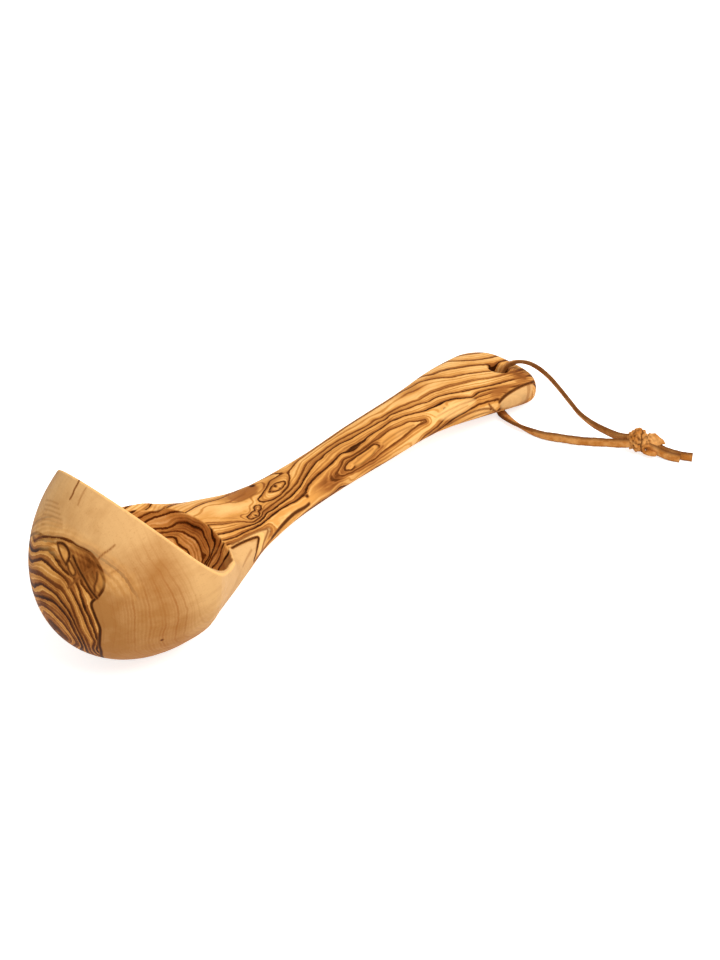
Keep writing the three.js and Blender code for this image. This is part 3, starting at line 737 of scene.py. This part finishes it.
def outline_depth(points, outline):
    """How far points of a plane lie inside a smooth closed outline, less than nothing outside it."""
    corners = np.array(outline, float)
    steps = np.linspace(0, 1, OUTLINE_STEPS, endpoint=False)[:, None]
    before, after, beyond = (np.roll(corners, shift, 0) for shift in (1, -1, -2))
    pieces = []
    for p0, p1, p2, p3 in zip(before, corners, after, beyond):
        turn = (2 * p0 - 5 * p1 + 4 * p2 - p3) * steps**2 + (3 * p1 - p0 - 3 * p2 + p3) * steps**3
        pieces.append((2 * p1 + (p2 - p0) * steps + turn) / 2)
    line = np.concatenate(pieces)
    span = np.roll(line, -1, 0) - line
    depth = np.empty(len(points))
    for first in range(0, len(points), BATCH):
        part = slice(first, first + BATCH)
        step = points[part, None] - line[None]
        along = np.clip((step * span).sum(-1) / (span**2).sum(-1), 0, 1)
        far = np.sqrt(((step - along[..., None] * span) ** 2).sum(-1)).min(1)
        rises = (step[..., 1] >= 0) != (step[..., 1] - span[:, 1] >= 0)
        with np.errstate(divide="ignore", invalid="ignore"):
            crosses = step[..., 0] < span[:, 0] * step[..., 1] / span[:, 1]
        inside = (rises & crosses).sum(1) % 2 == 1
        depth[part] = np.where(inside, far, -far)
    return depth


def area_depth(points, edge):
    """How far points lie inside an edge traced on the wood, less than nothing outside it."""
    middle = edge.mean(0)
    across = np.linalg.svd(edge - middle)[2][:2].T
    reach = np.linalg.norm(edge - middle, axis=1).max() + NEAR
    depth = np.full(len(points), -FAR)
    near = np.linalg.norm(points - middle, axis=1) < reach
    depth[near] = outline_depth((points[near] - middle) @ across, (edge - middle) @ across)
    return depth


def line_gap(points, line):
    """Distance of points from a line through traced places."""
    gap = np.full(len(points), FAR)
    near = ((points > line.min(0) - NEAR) & (points < line.max(0) + NEAR)).all(1)
    for a, b in zip(line, line[1:]):
        along = np.clip((points[near] - a) @ (b - a) / ((b - a) @ (b - a) + 1e-9), 0, 1)
        far = np.linalg.norm(points[near] - a - along[:, None] * (b - a), axis=1)
        gap[near] = np.minimum(gap[near], far)
    return gap


def hollow_depth(points):
    """How deep points lie in the cuts of the hollow and its pocket, less than nothing outside them."""
    ball = np.linalg.norm((points - HOLLOW_MIDDLE) / HOLLOW_RADII, axis=1)
    hollow = (1 - ball) * HOLLOW_RADII[0] + HOLLOW_SKIN
    pocket = POCKET_RADIUS - np.linalg.norm(points - POCKET_MIDDLE, axis=1) + POCKET_SKIN
    return np.maximum(hollow, pocket)


def ring_layers(points, tree, hollow):
    """Ring numbers of the handle, the hollow and the bowl, and how fast they grow."""
    ahead = points[:, 0] - RIM_MIDDLE[0]
    regions = {
        "handle": (HANDLE_LINES, ahead > 0),
        "hollow": (HOLLOW_LINES, hollow > -OVERLAP),
        "bowl": (BOWL_LINES, (ahead < SAP_REACH + FAR) & (hollow < OVERLAP)),
    }
    layers = {}
    for name, (lines, used) in regions.items():
        rings = np.zeros(len(points))
        rate = np.full(len(points), PLAIN_RATE)
        rings[used], rate[used] = ring_field(tree, lines, points[used])
        layers[name + "_rings"] = rings
        layers[name + "_rate"] = np.clip(rate, *RATE_LIMITS)
    return layers


def kind_layers(points, rings):
    """Where the wood is sapwood, how pale that is, with painted light paling it towards the bowl's upper lip,
    and where the heartwood patch lies.
    """
    ahead, side, up = (points - RIM_MIDDLE).T
    tilt = math.radians(RIM_TILT)
    along_rim = ahead * math.cos(tilt) - up * math.sin(tilt)
    from_rim = ahead * math.sin(tilt) + up * math.cos(tilt)
    ball = np.sqrt((along_rim**2 + side**2) / RIM_RADIUS**2 + from_rim**2 / BOWL_DEPTH**2)
    right, reach = RIGHT_WALL
    rim = np.maximum(SHELF_START - ahead, np.minimum(right - side, reach - ahead))
    wave = SAP_WAVE_HEIGHT * np.sin(points[:, 2] / SAP_WAVE_PACE)
    shell = np.minimum((ball - 1) * RIM_RADIUS + BOWL_SKIN, SAP_REACH + wave - ahead)
    chevron = (CHEVRON_RING - rings["handle_rings"]) / rings["handle_rate"]
    chevron = np.where(ahead < CHEVRON_REACH, chevron, -FAR)
    outer = np.clip((rings["bowl_rings"] - OUTER_RING) / OUTER_SPREAD, 0, 1)
    # Painted light: the sapwood turns paler towards the bowl's upper lip
    painted_lip_light = np.clip((-along_rim - LIP_START) / LIP_SPREAD, 0, 1)
    patch = np.where(ahead < 0, outline_depth(points[:, 1:], PATCH_OUTLINE), -FAR)
    return {
        "sap_depth": np.clip(np.maximum.reduce([rim, shell, chevron]), -FAR, FAR),
        "outer_sap_and_lip_light": PALE_LEAST + (PALE_MOST - PALE_LEAST) * np.maximum(outer, LIP_LIGHT_SHARE * painted_lip_light),
        "patch_depth": np.clip(patch, -FAR, FAR),
    }


def mark_layers(points, tree, hollow):
    """Places of one colour, painted shade on the hollow's sapwood wall, thin marks, clouds and spots."""
    layers = {}
    for name, edges in AREAS.items():
        depths = [area_depth(points, seen(tree, rounded(edge, True))) for edge in edges]
        layers["area_" + name] = np.minimum(np.max(depths, axis=0), -hollow)
    layers["area_wall"] = np.minimum(area_depth(points, seen(tree, SHADED_WALL)), hollow)
    stroke = np.zeros(len(points))
    for width, strength, pixels in STROKES:
        gap = line_gap(points, seen(tree, filled(rounded(pixels, False))))
        stroke = np.maximum(stroke, strength * np.clip((width / 2 + STROKE_EDGE - gap) / STROKE_BLUR, 0, 1))
    layers["stroke"] = stroke
    cloud = np.zeros(len(points))
    for pixel, reach, strength in CLOUDS:
        away = (points - seen(tree, [pixel])[0]) / reach
        cloud = np.maximum(cloud, strength * np.exp(-(away**2).sum(1)))
    layers["cloud"] = cloud
    spot = np.full(len(points), -FAR)
    for pixel, radius in SPOTS:
        spot = np.maximum(spot, radius - np.linalg.norm(points - seen(tree, [pixel])[0], axis=1))
    layers["spot_depth"] = spot
    return layers


def figure(mesh):
    """Writes the wood's figure onto the mesh, as values that its material reads."""
    points = mesh_points(mesh) / MM
    tree = BVHTree.FromPolygons([v.co for v in mesh.vertices], [p.vertices[:] for p in mesh.polygons])
    hollow = hollow_depth(points)
    rings = ring_layers(points, tree, hollow)
    kinds = kind_layers(points, rings)
    marks = mark_layers(points, tree, hollow)
    for name, values in {"hollow_depth": hollow, **rings, **kinds, **marks}.items():
        write_layer(mesh, name, values)


# Olive wood


def ring_lines_group():
    """Turns a ring number and its growth per millimetre into dark lines, brown late wood and fine lines."""
    tree = bpy.data.node_groups.new("ring_lines", "ShaderNodeTree")
    for name in ("Rings", "Rate", "Seasons", "Width"):
        tree.interface.new_socket(name, in_out="INPUT", socket_type="NodeSocketFloat")
    for name in ("Dark", "Brown", "Fine"):
        tree.interface.new_socket(name, in_out="OUTPUT", socket_type="NodeSocketFloat")
    given = add(tree, "NodeGroupInput").outputs
    rings, rate, seasons = given["Rings"], given["Rate"], given["Seasons"]
    wave = grain_pattern(tree, RING_WAVE, detail=3, roughness=0.6)
    fuzz = grain_pattern(tree, RING_FUZZ, detail=2, roughness=0.5)
    for pattern, reach in ((wave, RING_WANDER), (fuzz, RING_WOBBLE)):
        shift = add(tree, "ShaderNodeMapRange", [pattern, *NOISE_RANGE, -reach, reach], clamp=False)
        rings = add(tree, "ShaderNodeMath", [shift, rate, rings], operation="MULTIPLY_ADD")
    year = add(tree, "ShaderNodeMath", [rings], operation="ROUND")
    part = add(tree, "ShaderNodeMath", [rings, year], operation="SUBTRACT")
    gap = add(tree, "ShaderNodeMath", [part, rate], operation="DIVIDE")
    sized = add(tree, "ShaderNodeMath", [gap, given["Width"]], operation="DIVIDE")
    profile = add(tree, "ShaderNodeMapRange", [sized, *PROFILE_RANGE])
    chance = add(tree, "ShaderNodeTexWhiteNoise", {"W": year}, noise_dimensions="1D")
    strength = add(tree, "ShaderNodeMapRange", [chance, *CHANCE_RANGE])
    fade = grain_pattern(tree, RING_FADE, detail=2, roughness=0.5)
    weight = add(tree, "ShaderNodeMapRange", [fade, *FADE_RANGE])
    force = add(tree, "ShaderNodeMath", [weight, strength], operation="MULTIPLY")
    lines = {}
    for name, levels in (("Dark", DARK_STOPS), ("Brown", BROWN_STOPS)):
        stops = [(place, (level, level, level)) for place, level in levels]
        shape = add(tree, "ShaderNodeValToRGB", [profile], stops)
        lines[name] = add(tree, "ShaderNodeMath", [shape, force], operation="MULTIPLY")
    counted = add(tree, "ShaderNodeMath", [rings, seasons, SEASON_SHIFT], operation="MULTIPLY_ADD")
    season = add(tree, "ShaderNodeMath", [counted], operation="ROUND")
    rest = add(tree, "ShaderNodeMath", [counted, season], operation="SUBTRACT")
    crowd = add(tree, "ShaderNodeMath", [rate, seasons], operation="MULTIPLY")
    narrow = add(tree, "ShaderNodeMath", [rest, crowd], operation="DIVIDE")
    away = add(tree, "ShaderNodeMath", [narrow], operation="ABSOLUTE")
    thin = add(tree, "ShaderNodeMapRange", [away, *FINE_RANGE], interpolation_type="SMOOTHSTEP")
    luck = add(tree, "ShaderNodeTexWhiteNoise", {"W": season}, noise_dimensions="1D")
    some = add(tree, "ShaderNodeMapRange", [luck, *LUCK_RANGE])
    lines["Fine"] = add(tree, "ShaderNodeMath", [thin, some], operation="MULTIPLY")
    add(tree, "NodeGroupOutput", lines)
    return tree


def ring_lines(tree, layer, region, seasons, width):
    """The dark, brown and fine lines of one region's rings."""
    group = bpy.data.node_groups.get("ring_lines") or ring_lines_group()
    given = [layer[region + "_rings"], layer[region + "_rate"], seasons, width]
    return add(tree, "ShaderNodeGroup", given, node_tree=group).outputs


def inked(tree, settings, colour, amount):
    """A colour under a dark mark: brown where the mark is faint, and black-brown where it is full."""
    faint = add(tree, "ShaderNodeMath", [amount, FAINT_SHARE], operation="MULTIPLY")
    full = add(tree, "ShaderNodeMath", [amount, amount], operation="MULTIPLY")
    for share, shade in ((faint, settings.brown), (full, settings.dark)):
        colour = add(tree, "ShaderNodeMix", {"Factor": share, "A": colour, "B": shade}, data_type="RGBA")
    return colour


def heartwood(tree, settings, layer, tone, region):
    """Colour of one region's rings, from gold through brown to their black-brown lines."""
    late_share, width = HEART_LOOKS[region]
    lines = ring_lines(tree, layer, region, HEART_SEASONS, width)
    late = add(tree, "ShaderNodeMath", [lines["Brown"], late_share], operation="MULTIPLY")
    cloud = add(tree, "ShaderNodeMath", [layer["cloud"], CLOUD_SHARE], operation="MULTIPLY")
    deep = add(tree, "ShaderNodeMath", [late, cloud], operation="MAXIMUM")
    for value, share in ((tone, TONE_SHARE), (lines["Fine"], FINE_SHARE)):
        deep = add(tree, "ShaderNodeMath", [value, share, deep], operation="MULTIPLY_ADD")
    deep = add(tree, "ShaderNodeMath", [deep, lines["Dark"]], operation="MAXIMUM")
    stops = [(place, getattr(settings, shade)) for place, shade in HEART_STOPS]
    return add(tree, "ShaderNodeValToRGB", [deep], stops)


def sapwood(tree, settings, layer, tone):
    """Honey to pale sapwood: clouded, with faint rings, paler towards the bowl's upper lip as painted light,
    and gold along the rim's sharp edges as a painted highlight.
    """
    mottle = grain_pattern(tree, MOTTLE_SIZE, detail=3, roughness=0.6)
    clouded = add(tree, "ShaderNodeMapRange", [mottle, *SAP_CLOUD_RANGE])
    uneven = add(tree, "ShaderNodeMath", [layer["outer_sap_and_lip_light"], clouded], operation="ADD")
    pale = add(tree, "ShaderNodeMath", [tone, SAP_TONE_SHARE, uneven], operation="MULTIPLY_ADD")
    clear = add(tree, "ShaderNodeMapRange", [mottle, *SAP_LINE_RANGE])
    inner = add(tree, "ShaderNodeMath", [1.0, layer["outer_sap_and_lip_light"]], operation="SUBTRACT")
    drawn = add(tree, "ShaderNodeMath", [clear, inner], operation="MULTIPLY")
    lines = ring_lines(tree, layer, "bowl", SAP_SEASONS, SAP_LINE_WIDTH)
    faint = add(tree, "ShaderNodeMath", [lines["Fine"], drawn], operation="MULTIPLY")
    # Gold along the sharp edges of the rim: a painted highlight
    rim = add(tree, "ShaderNodeMapRange", [layer["edge_gap"], *RIM_HIGHLIGHT_RANGE])
    colour = settings.honey
    for share, shade in ((pale, settings.sap), (faint, settings.brown), (rim, settings.gold)):
        colour = add(tree, "ShaderNodeMix", {"Factor": share, "A": colour, "B": shade}, data_type="RGBA")
    return colour


def olive_wood(settings, names):
    """Olive wood, carved, sanded and oiled.

    Gold heartwood with black-brown rings, honey sapwood and a satin sheen.
    """
    material = new_material("olive_wood_carved_oiled")
    tree = material.node_tree
    layer = {name: add(tree, "ShaderNodeAttribute", attribute_name=name).outputs["Fac"] for name in names}
    streak = grain_pattern(tree, STREAK_SIZE, detail=4, roughness=0.6)
    pores = grain_pattern(tree, PORE_SIZE, detail=3, roughness=0.7)
    tone = add(tree, "ShaderNodeMapRange", [streak, *TONE_RANGE])

    # Colours of the bowl's outside and of the hollow
    bowl = sapwood(tree, settings, layer, tone)
    patch = heartwood(tree, settings, layer, tone, "bowl")
    in_patch = add(tree, "ShaderNodeMapRange", [layer["patch_depth"], *SEAM_RANGE])
    bowl = add(tree, "ShaderNodeMix", {"Factor": in_patch, "A": bowl, "B": patch}, data_type="RGBA")
    from_edge = add(tree, "ShaderNodeMath", [layer["patch_depth"]], operation="ABSOLUTE")
    bowl = inked(tree, settings, bowl, add(tree, "ShaderNodeMapRange", [from_edge, *PATCH_LINE_RANGE]))
    hollow = heartwood(tree, settings, layer, tone, "hollow")
    # The hollow's pale sapwood wall beside the handle is painted honey: painted shade
    wall_shade = add(tree, "ShaderNodeMapRange", [layer["area_wall"], *WALL_RANGE])
    hollow = add(tree, "ShaderNodeMix", {"Factor": wall_shade, "A": hollow, "B": settings.honey}, data_type="RGBA")

    # The handle's wood, with the others where they lie
    colour = heartwood(tree, settings, layer, tone, "handle")
    for name, kind in (("sap_depth", bowl), ("hollow_depth", hollow)):
        share = add(tree, "ShaderNodeMapRange", [layer[name], *SEAM_RANGE])
        colour = add(tree, "ShaderNodeMix", {"Factor": share, "A": colour, "B": kind}, data_type="RGBA")

    # Places of one colour, dark marks and pores
    for name, (shade, least, most) in AREA_LOOKS.items():
        streaked = add(tree, "ShaderNodeMapRange", [streak, *AREA_STREAK_RANGE, least, most])
        inside = add(tree, "ShaderNodeMapRange", [layer["area_" + name], *AREA_EDGE_RANGE])
        share = add(tree, "ShaderNodeMath", [inside, streaked], operation="MULTIPLY")
        mix = {"Factor": share, "A": colour, "B": getattr(settings, shade)}
        colour = add(tree, "ShaderNodeMix", mix, data_type="RGBA")
    spots = add(tree, "ShaderNodeMapRange", [layer["spot_depth"], *SPOT_RANGE])
    for mark in (layer["stroke"], spots):
        colour = inked(tree, settings, colour, mark)
    share = add(tree, "ShaderNodeMapRange", [pores, *PORE_RANGE])
    colour = add(tree, "ShaderNodeMix", {"Factor": share, "A": colour, "B": settings.brown}, data_type="RGBA")

    # Satin of the oil
    bump = add(tree, "ShaderNodeBump", {"Height": pores, "Strength": 0.12, "Distance": PORE_DEPTH * MM})
    rough = add(tree, "ShaderNodeMapRange", [streak, *SATIN_RANGE])
    satin = {"Base Color": colour, "Roughness": rough, "Normal": bump, "IOR": 1.3, "Specular IOR Level": 0.06}
    shader = add(tree, "ShaderNodeBsdfPrincipled", satin)
    add(tree, "ShaderNodeOutputMaterial", [shader])
    return material


class LADLE_OT_body(bpy.types.Operator):
    """Carves the ladle's body over its CAD solid and gives it the figure of olive wood"""

    bl_idname = "ladle.body"
    bl_label = "Wooden body"

    def execute(self, context):
        settings = context.scene.ladle_wood
        mesh = carved_mesh(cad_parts["ladle_body"], settings.mesh_step)
        figure(mesh)
        names = [layer.name for layer in mesh.attributes if layer.data_type == "FLOAT"]
        new_piece("wooden_body", mesh, olive_wood(settings, names), "ladle", "ladle_body")
        return {"FINISHED"}


# Thong


def route_line(route, step):
    """Places and wide-side directions along a smooth curve through a route's points, in metres."""
    knots = [Vector((x + HOLE_AT, y, z)) * MM for (x, y, z), side in route]
    sides = [Vector(side) for place, side in route]
    ends = [knots[0] * 2 - knots[1], *knots, knots[-1] * 2 - knots[-2]]
    places = []
    turns = []
    for i in range(len(knots) - 1):
        p0, p1, p2, p3 = ends[i : i + 4]
        t0 = 0.0
        t1 = t0 + math.sqrt((p1 - p0).length)
        t2 = t1 + math.sqrt((p2 - p1).length)
        t3 = t2 + math.sqrt((p3 - p2).length)
        pieces = max(2, round((p2 - p1).length / step))
        last = i == len(knots) - 2
        for j in range(pieces + (1 if last else 0)):
            share = j / pieces
            t = t1 + share * (t2 - t1)
            a1 = p0 * ((t1 - t) / (t1 - t0)) + p1 * ((t - t0) / (t1 - t0))
            a2 = p1 * ((t2 - t) / (t2 - t1)) + p2 * ((t - t1) / (t2 - t1))
            a3 = p2 * ((t3 - t) / (t3 - t2)) + p3 * ((t - t2) / (t3 - t2))
            b1 = a1 * ((t2 - t) / (t2 - t0)) + a2 * ((t - t0) / (t2 - t0))
            b2 = a2 * ((t3 - t) / (t3 - t1)) + a3 * ((t - t1) / (t3 - t1))
            places.append(b1 * ((t2 - t) / (t2 - t1)) + b2 * ((t - t1) / (t2 - t1)))
            turns.append(sides[i].lerp(sides[i + 1], share))
    return places, turns


def strip_section(width, thickness):
    """Rounded flat section of a cut strip: places across and through it, with a mark for the cut edges.

    The grain side is crowned, and the flesh side is the same half, flat and turned round.
    """
    half = width / 2
    deep = thickness / 2
    ease = thickness * EDGE_EASE
    right = [(half - ease * inward, deep - ease * down, mark) for inward, down, mark in EDGE_ROUND]
    right.append((half * FACE_FLAT, deep, 0.0))
    left = [(-across, through, mark) for across, through, mark in reversed(right[1:])]
    side = [(half, ease - deep, 1.0), *right, *left]
    crowned = [(across, through if mark else through * FACE_CROWN, mark) for across, through, mark in side]
    return crowned + [(-across, -through, mark) for across, through, mark in side]


def strip_mesh(name, route, settings):
    """A flat leather strip along a route, with dark cut edges and slightly uneven width."""
    places, sides = route_line(route, STRIP_STEP * MM)
    section = strip_section(settings.width, settings.thickness)
    verts = []
    run = 0.0
    for i, place in enumerate(places):
        before = places[max(i - 1, 0)]
        ahead = (places[min(i + 1, len(places) - 1)] - before).normalized()
        side = (sides[i] - ahead * sides[i].dot(ahead)).normalized()
        face = ahead.cross(side)
        run += (place - before).length / MM
        uneven = 1 + sum(share * math.sin(run * pace + start) for share, pace, start in STRIP_WAVES)
        verts.extend(place + side * across * uneven + face * through for across, through, mark in section)
    ring = len(section)
    last = len(verts) - ring
    faces = []
    for first in range(0, last, ring):
        for j in range(ring):
            k = (j + 1) % ring
            faces.append((first + j, first + k, first + ring + k, first + ring + j))
    ends = [tuple(reversed(range(ring))), tuple(range(last, len(verts)))]
    mesh = bpy.data.meshes.new(name)
    mesh.from_pydata(verts, [], faces + ends)
    work = bmesh.new()
    work.from_mesh(mesh)
    bmesh.ops.recalc_face_normals(work, faces=work.faces)
    work.to_mesh(mesh)
    work.free()
    write_layer(mesh, "cut_edge_and_crease_shade", [mark for across, through, mark in section] * len(places))
    mesh.polygons.foreach_set("use_smooth", [True] * len(faces) + [False] * len(ends))
    return mesh, places


def strip_leather(settings):
    """Vegetable-tanned leather, split and cut into a strip: tan grain rubbed paler, dark cut edges, and
    painted shade in the knot's creases.
    """
    material = bpy.data.materials.get("leather_tanned_strip")
    if material:
        return material
    material = new_material("leather_tanned_strip")
    tree = material.node_tree
    patches = grain_pattern(tree, LEATHER_PATCH, detail=4, roughness=0.6)
    creases = grain_pattern(tree, LEATHER_GRIT, detail=4, roughness=0.65)
    edge = add(tree, "ShaderNodeAttribute", attribute_name="cut_edge_and_crease_shade").outputs["Fac"]
    rubbed = add(tree, "ShaderNodeMapRange", [patches, *RUB_RANGE])
    # Cut edges, and on the knot the painted shade in the creases, take the dark edge colour
    cut_and_crease_shade = add(tree, "ShaderNodeMapRange", [edge, *CUT_AND_CREASE_SHADE_RANGE])
    colour = settings.grain
    for share, shade in ((rubbed, settings.worn), (cut_and_crease_shade, settings.edge)):
        colour = add(tree, "ShaderNodeMix", {"Factor": share, "A": colour, "B": shade}, data_type="RGBA")
    bump = add(tree, "ShaderNodeBump", {"Height": creases, "Strength": 0.35, "Distance": GRIT_DEPTH * MM})
    matt = {"Base Color": colour, "Roughness": 0.68, "Normal": bump, "IOR": 1.5, "Specular IOR Level": 0.1}
    shader = add(tree, "ShaderNodeBsdfPrincipled", matt)
    add(tree, "ShaderNodeOutputMaterial", [shader])
    return material


def strip_piece(name, route, node, settings):
    """A strip in place of a CAD node, and the places along it."""
    mesh, places = strip_mesh(name, route, settings)
    return new_piece(name, mesh, strip_leather(settings), "thong", node), places


class LADLE_OT_tails(bpy.types.Operator):
    """Lays the thong's two cut tails beyond the knot"""

    bl_idname = "ladle.tails"
    bl_label = "Thong tails"

    def execute(self, context):
        settings = context.scene.ladle_thong
        strip_piece("long_tail", LONG_TAIL_ROUTE, "thong_long_tail", settings)
        strip_piece("short_tail", SHORT_TAIL_ROUTE, "thong_short_tail", settings)
        return {"FINISHED"}


def bumps(place, waves):
    """Height of bumps at a place, from the height and pace of each wave."""
    return sum(height * noise.noise(place * pace) for height, pace in waves)


def crumpled(mesh):
    """Crumples the knot's turns: lumps, deep creases round it and smaller folds on its lobes, with painted
    shade that deepens where the surface is pressed in.
    """
    aim = math.radians(KNOT_AIM)
    axis = Vector((math.sin(aim), -math.cos(aim), 0))
    middle = Vector(KNOT_PLACE) + Vector((HOLE_AT, 0, 0))
    moved = []
    creases = []
    for vertex in mesh.vertices:
        place = vertex.co / MM
        along = (place - middle).dot(axis) + bumps(place, KNOT_WANDER)
        ball = min(1, max(0, (KNOT_REACH - (place - middle).length) / KNOT_BLEND))
        groove = 0.0
        for at, depth in KNOT_CREASES:
            groove += depth * math.exp(-(((along - at) / KNOT_CREASE_WIDTH) ** 2))
        shift = ball * (bumps(place, KNOT_LUMPS) - groove) + (1 - ball) * bumps(place, LOBE_FOLDS)
        moved.append(vertex.co + vertex.normal * shift * MM)
        # Painted shade, darker where the surface is pressed into a crease
        creases.append(min(1, max(0, CREASE_SHADE_BASE - CREASE_SHADE_GAIN * shift)))
    for vertex, place in zip(mesh.vertices, moved):
        vertex.co = place
    write_layer(mesh, "cut_edge_and_crease_shade", creases)


class LADLE_OT_knot(bpy.types.Operator):
    """Ties the overhand knot of both strands"""

    bl_idname = "ladle.knot"
    bl_label = "Thong knot"

    def execute(self, context):
        settings = context.scene.ladle_thong
        mesh = even_mesh(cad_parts["thong_knot"], KNOT_STEP * MM, KNOT_SOFTENING)
        crumpled(mesh)
        new_piece("knot", mesh, strip_leather(settings), "thong", "thong_knot")
        return {"FINISHED"}


class LADLE_OT_loop(bpy.types.Operator):
    bl_idname = "ladle.loop"
    bl_label = "Thong loop"

    def execute(self, context):
        settings = context.scene.ladle_thong
        loop, places = strip_piece("loop", LOOP_ROUTE, "thong_loop", settings)
        return {"FINISHED"}


# Stage


def white_paper(settings):
    """White paper, pressed matt: no gloss, and a soft grey shadow on white."""
    material = new_material("paper_white_matt")
    tree = material.node_tree
    paper = add(tree, "ShaderNodeBsdfDiffuse", [settings.floor])
    path = add(tree, "ShaderNodeLightPath").outputs
    seen_share = path["Is Camera Ray"]
    for ray in ("Is Glossy Ray", "Is Transmission Ray"):
        seen_share = add(tree, "ShaderNodeMath", [seen_share, path[ray]], operation="MAXIMUM")
    lift = add(tree, "ShaderNodeMath", [seen_share, FLOOR_GLOW], operation="MULTIPLY")
    glow = add(tree, "ShaderNodeEmission", {"Strength": lift})
    both = add(tree, "ShaderNodeAddShader", [paper, glow])
    add(tree, "ShaderNodeOutputMaterial", [both])
    return material


class LADLE_OT_stage(bpy.types.Operator):
    """Sets the camera, the pale floor and the soft studio light"""

    bl_idname = "ladle.stage"
    bl_label = "Stage"

    def execute(self, context):
        settings = context.scene.ladle_stage
        scene = context.scene
        scene.view_settings.view_transform = "Standard"
        eye, right, up, forward = sight()
        lens = bpy.data.cameras.new("photo_camera")
        lens.lens = CAMERA_LENS
        lens.sensor_fit = "HORIZONTAL"
        lens.sensor_width = CAMERA_SENSOR
        lens.clip_start = NEAREST_SEEN
        camera = bpy.data.objects.new("photo_camera", lens)
        turned = Matrix((right, up, -forward)).transposed().to_4x4()
        turned.translation = eye
        camera.matrix_world = turned
        scene.collection.objects.link(camera)
        scene.camera = camera
        self.floor(scene, settings)
        self.light(scene, settings)
        return {"FINISHED"}

    def floor(self, scene, settings):
        work = bmesh.new()
        bmesh.ops.create_grid(work, x_segments=8, y_segments=8, size=FLOOR_HALF)
        mesh = bpy.data.meshes.new("floor")
        work.to_mesh(mesh)
        work.free()
        mesh.materials.append(white_paper(settings))
        floor = bpy.data.objects.new("floor", mesh)
        scene.collection.objects.link(floor)

    def light(self, scene, settings):
        world = bpy.data.worlds.new("studio")
        world.use_nodes = True
        tree = world.node_tree
        tree.nodes.clear()
        seen_share = add(tree, "ShaderNodeLightPath").outputs["Is Camera Ray"]
        strength = add(tree, "ShaderNodeMapRange", {"Value": seen_share, "To Min": settings.sky})
        sky = add(tree, "ShaderNodeBackground", {"Color": (1, 1, 1, 1), "Strength": strength})
        add(tree, "ShaderNodeOutputWorld", [sky])
        scene.world = world
        lamp = bpy.data.lights.new("key", "AREA")
        lamp.shape = "DISK"
        lamp.size = KEY_SIZE
        lamp.energy = settings.key_power
        key = bpy.data.objects.new("key", lamp)
        key.location = KEY_PLACE
        key.rotation_euler = (-key.location).to_track_quat("-Z", "Y").to_euler()
        scene.collection.objects.link(key)


class LADLE_PT_panel(bpy.types.Panel):
    """Lists the ladle's pieces and their settings"""

    bl_idname = "LADLE_PT_panel"
    bl_label = "Ladle"
    bl_space_type = "VIEW_3D"
    bl_region_type = "UI"
    bl_category = "Ladle"

    def draw(self, context):
        for settings in (context.scene.ladle_wood, context.scene.ladle_thong, context.scene.ladle_stage):
            box = self.layout.box()
            for name in settings.bl_rna.properties.keys():
                if name not in ("rna_type", "name"):
                    box.prop(settings, name)
        for operator in OPERATORS:
            self.layout.operator(operator.bl_idname)


SETTINGS = {
    "ladle_wood": WoodSettings,
    "ladle_thong": ThongSettings,
    "ladle_stage": StageSettings,
}
OPERATORS = (LADLE_OT_stage, LADLE_OT_tails, LADLE_OT_knot, LADLE_OT_loop, LADLE_OT_body)


def register():
    for name, settings in SETTINGS.items():
        bpy.utils.register_class(settings)
        setattr(bpy.types.Scene, name, bpy.props.PointerProperty(type=settings))
    for operator in OPERATORS:
        bpy.utils.register_class(operator)
    bpy.utils.register_class(LADLE_PT_panel)


def unregister():
    bpy.utils.unregister_class(LADLE_PT_panel)
    for operator in reversed(OPERATORS):
        bpy.utils.unregister_class(operator)
    for name, settings in SETTINGS.items():
        delattr(bpy.types.Scene, name)
        bpy.utils.unregister_class(settings)


def main():
    register()
    bpy.ops.ladle.stage()
    bpy.ops.ladle.tails()
    bpy.ops.ladle.knot()
    bpy.ops.ladle.loop()
    bpy.ops.ladle.body()


if __name__ == "__main__":
    main()
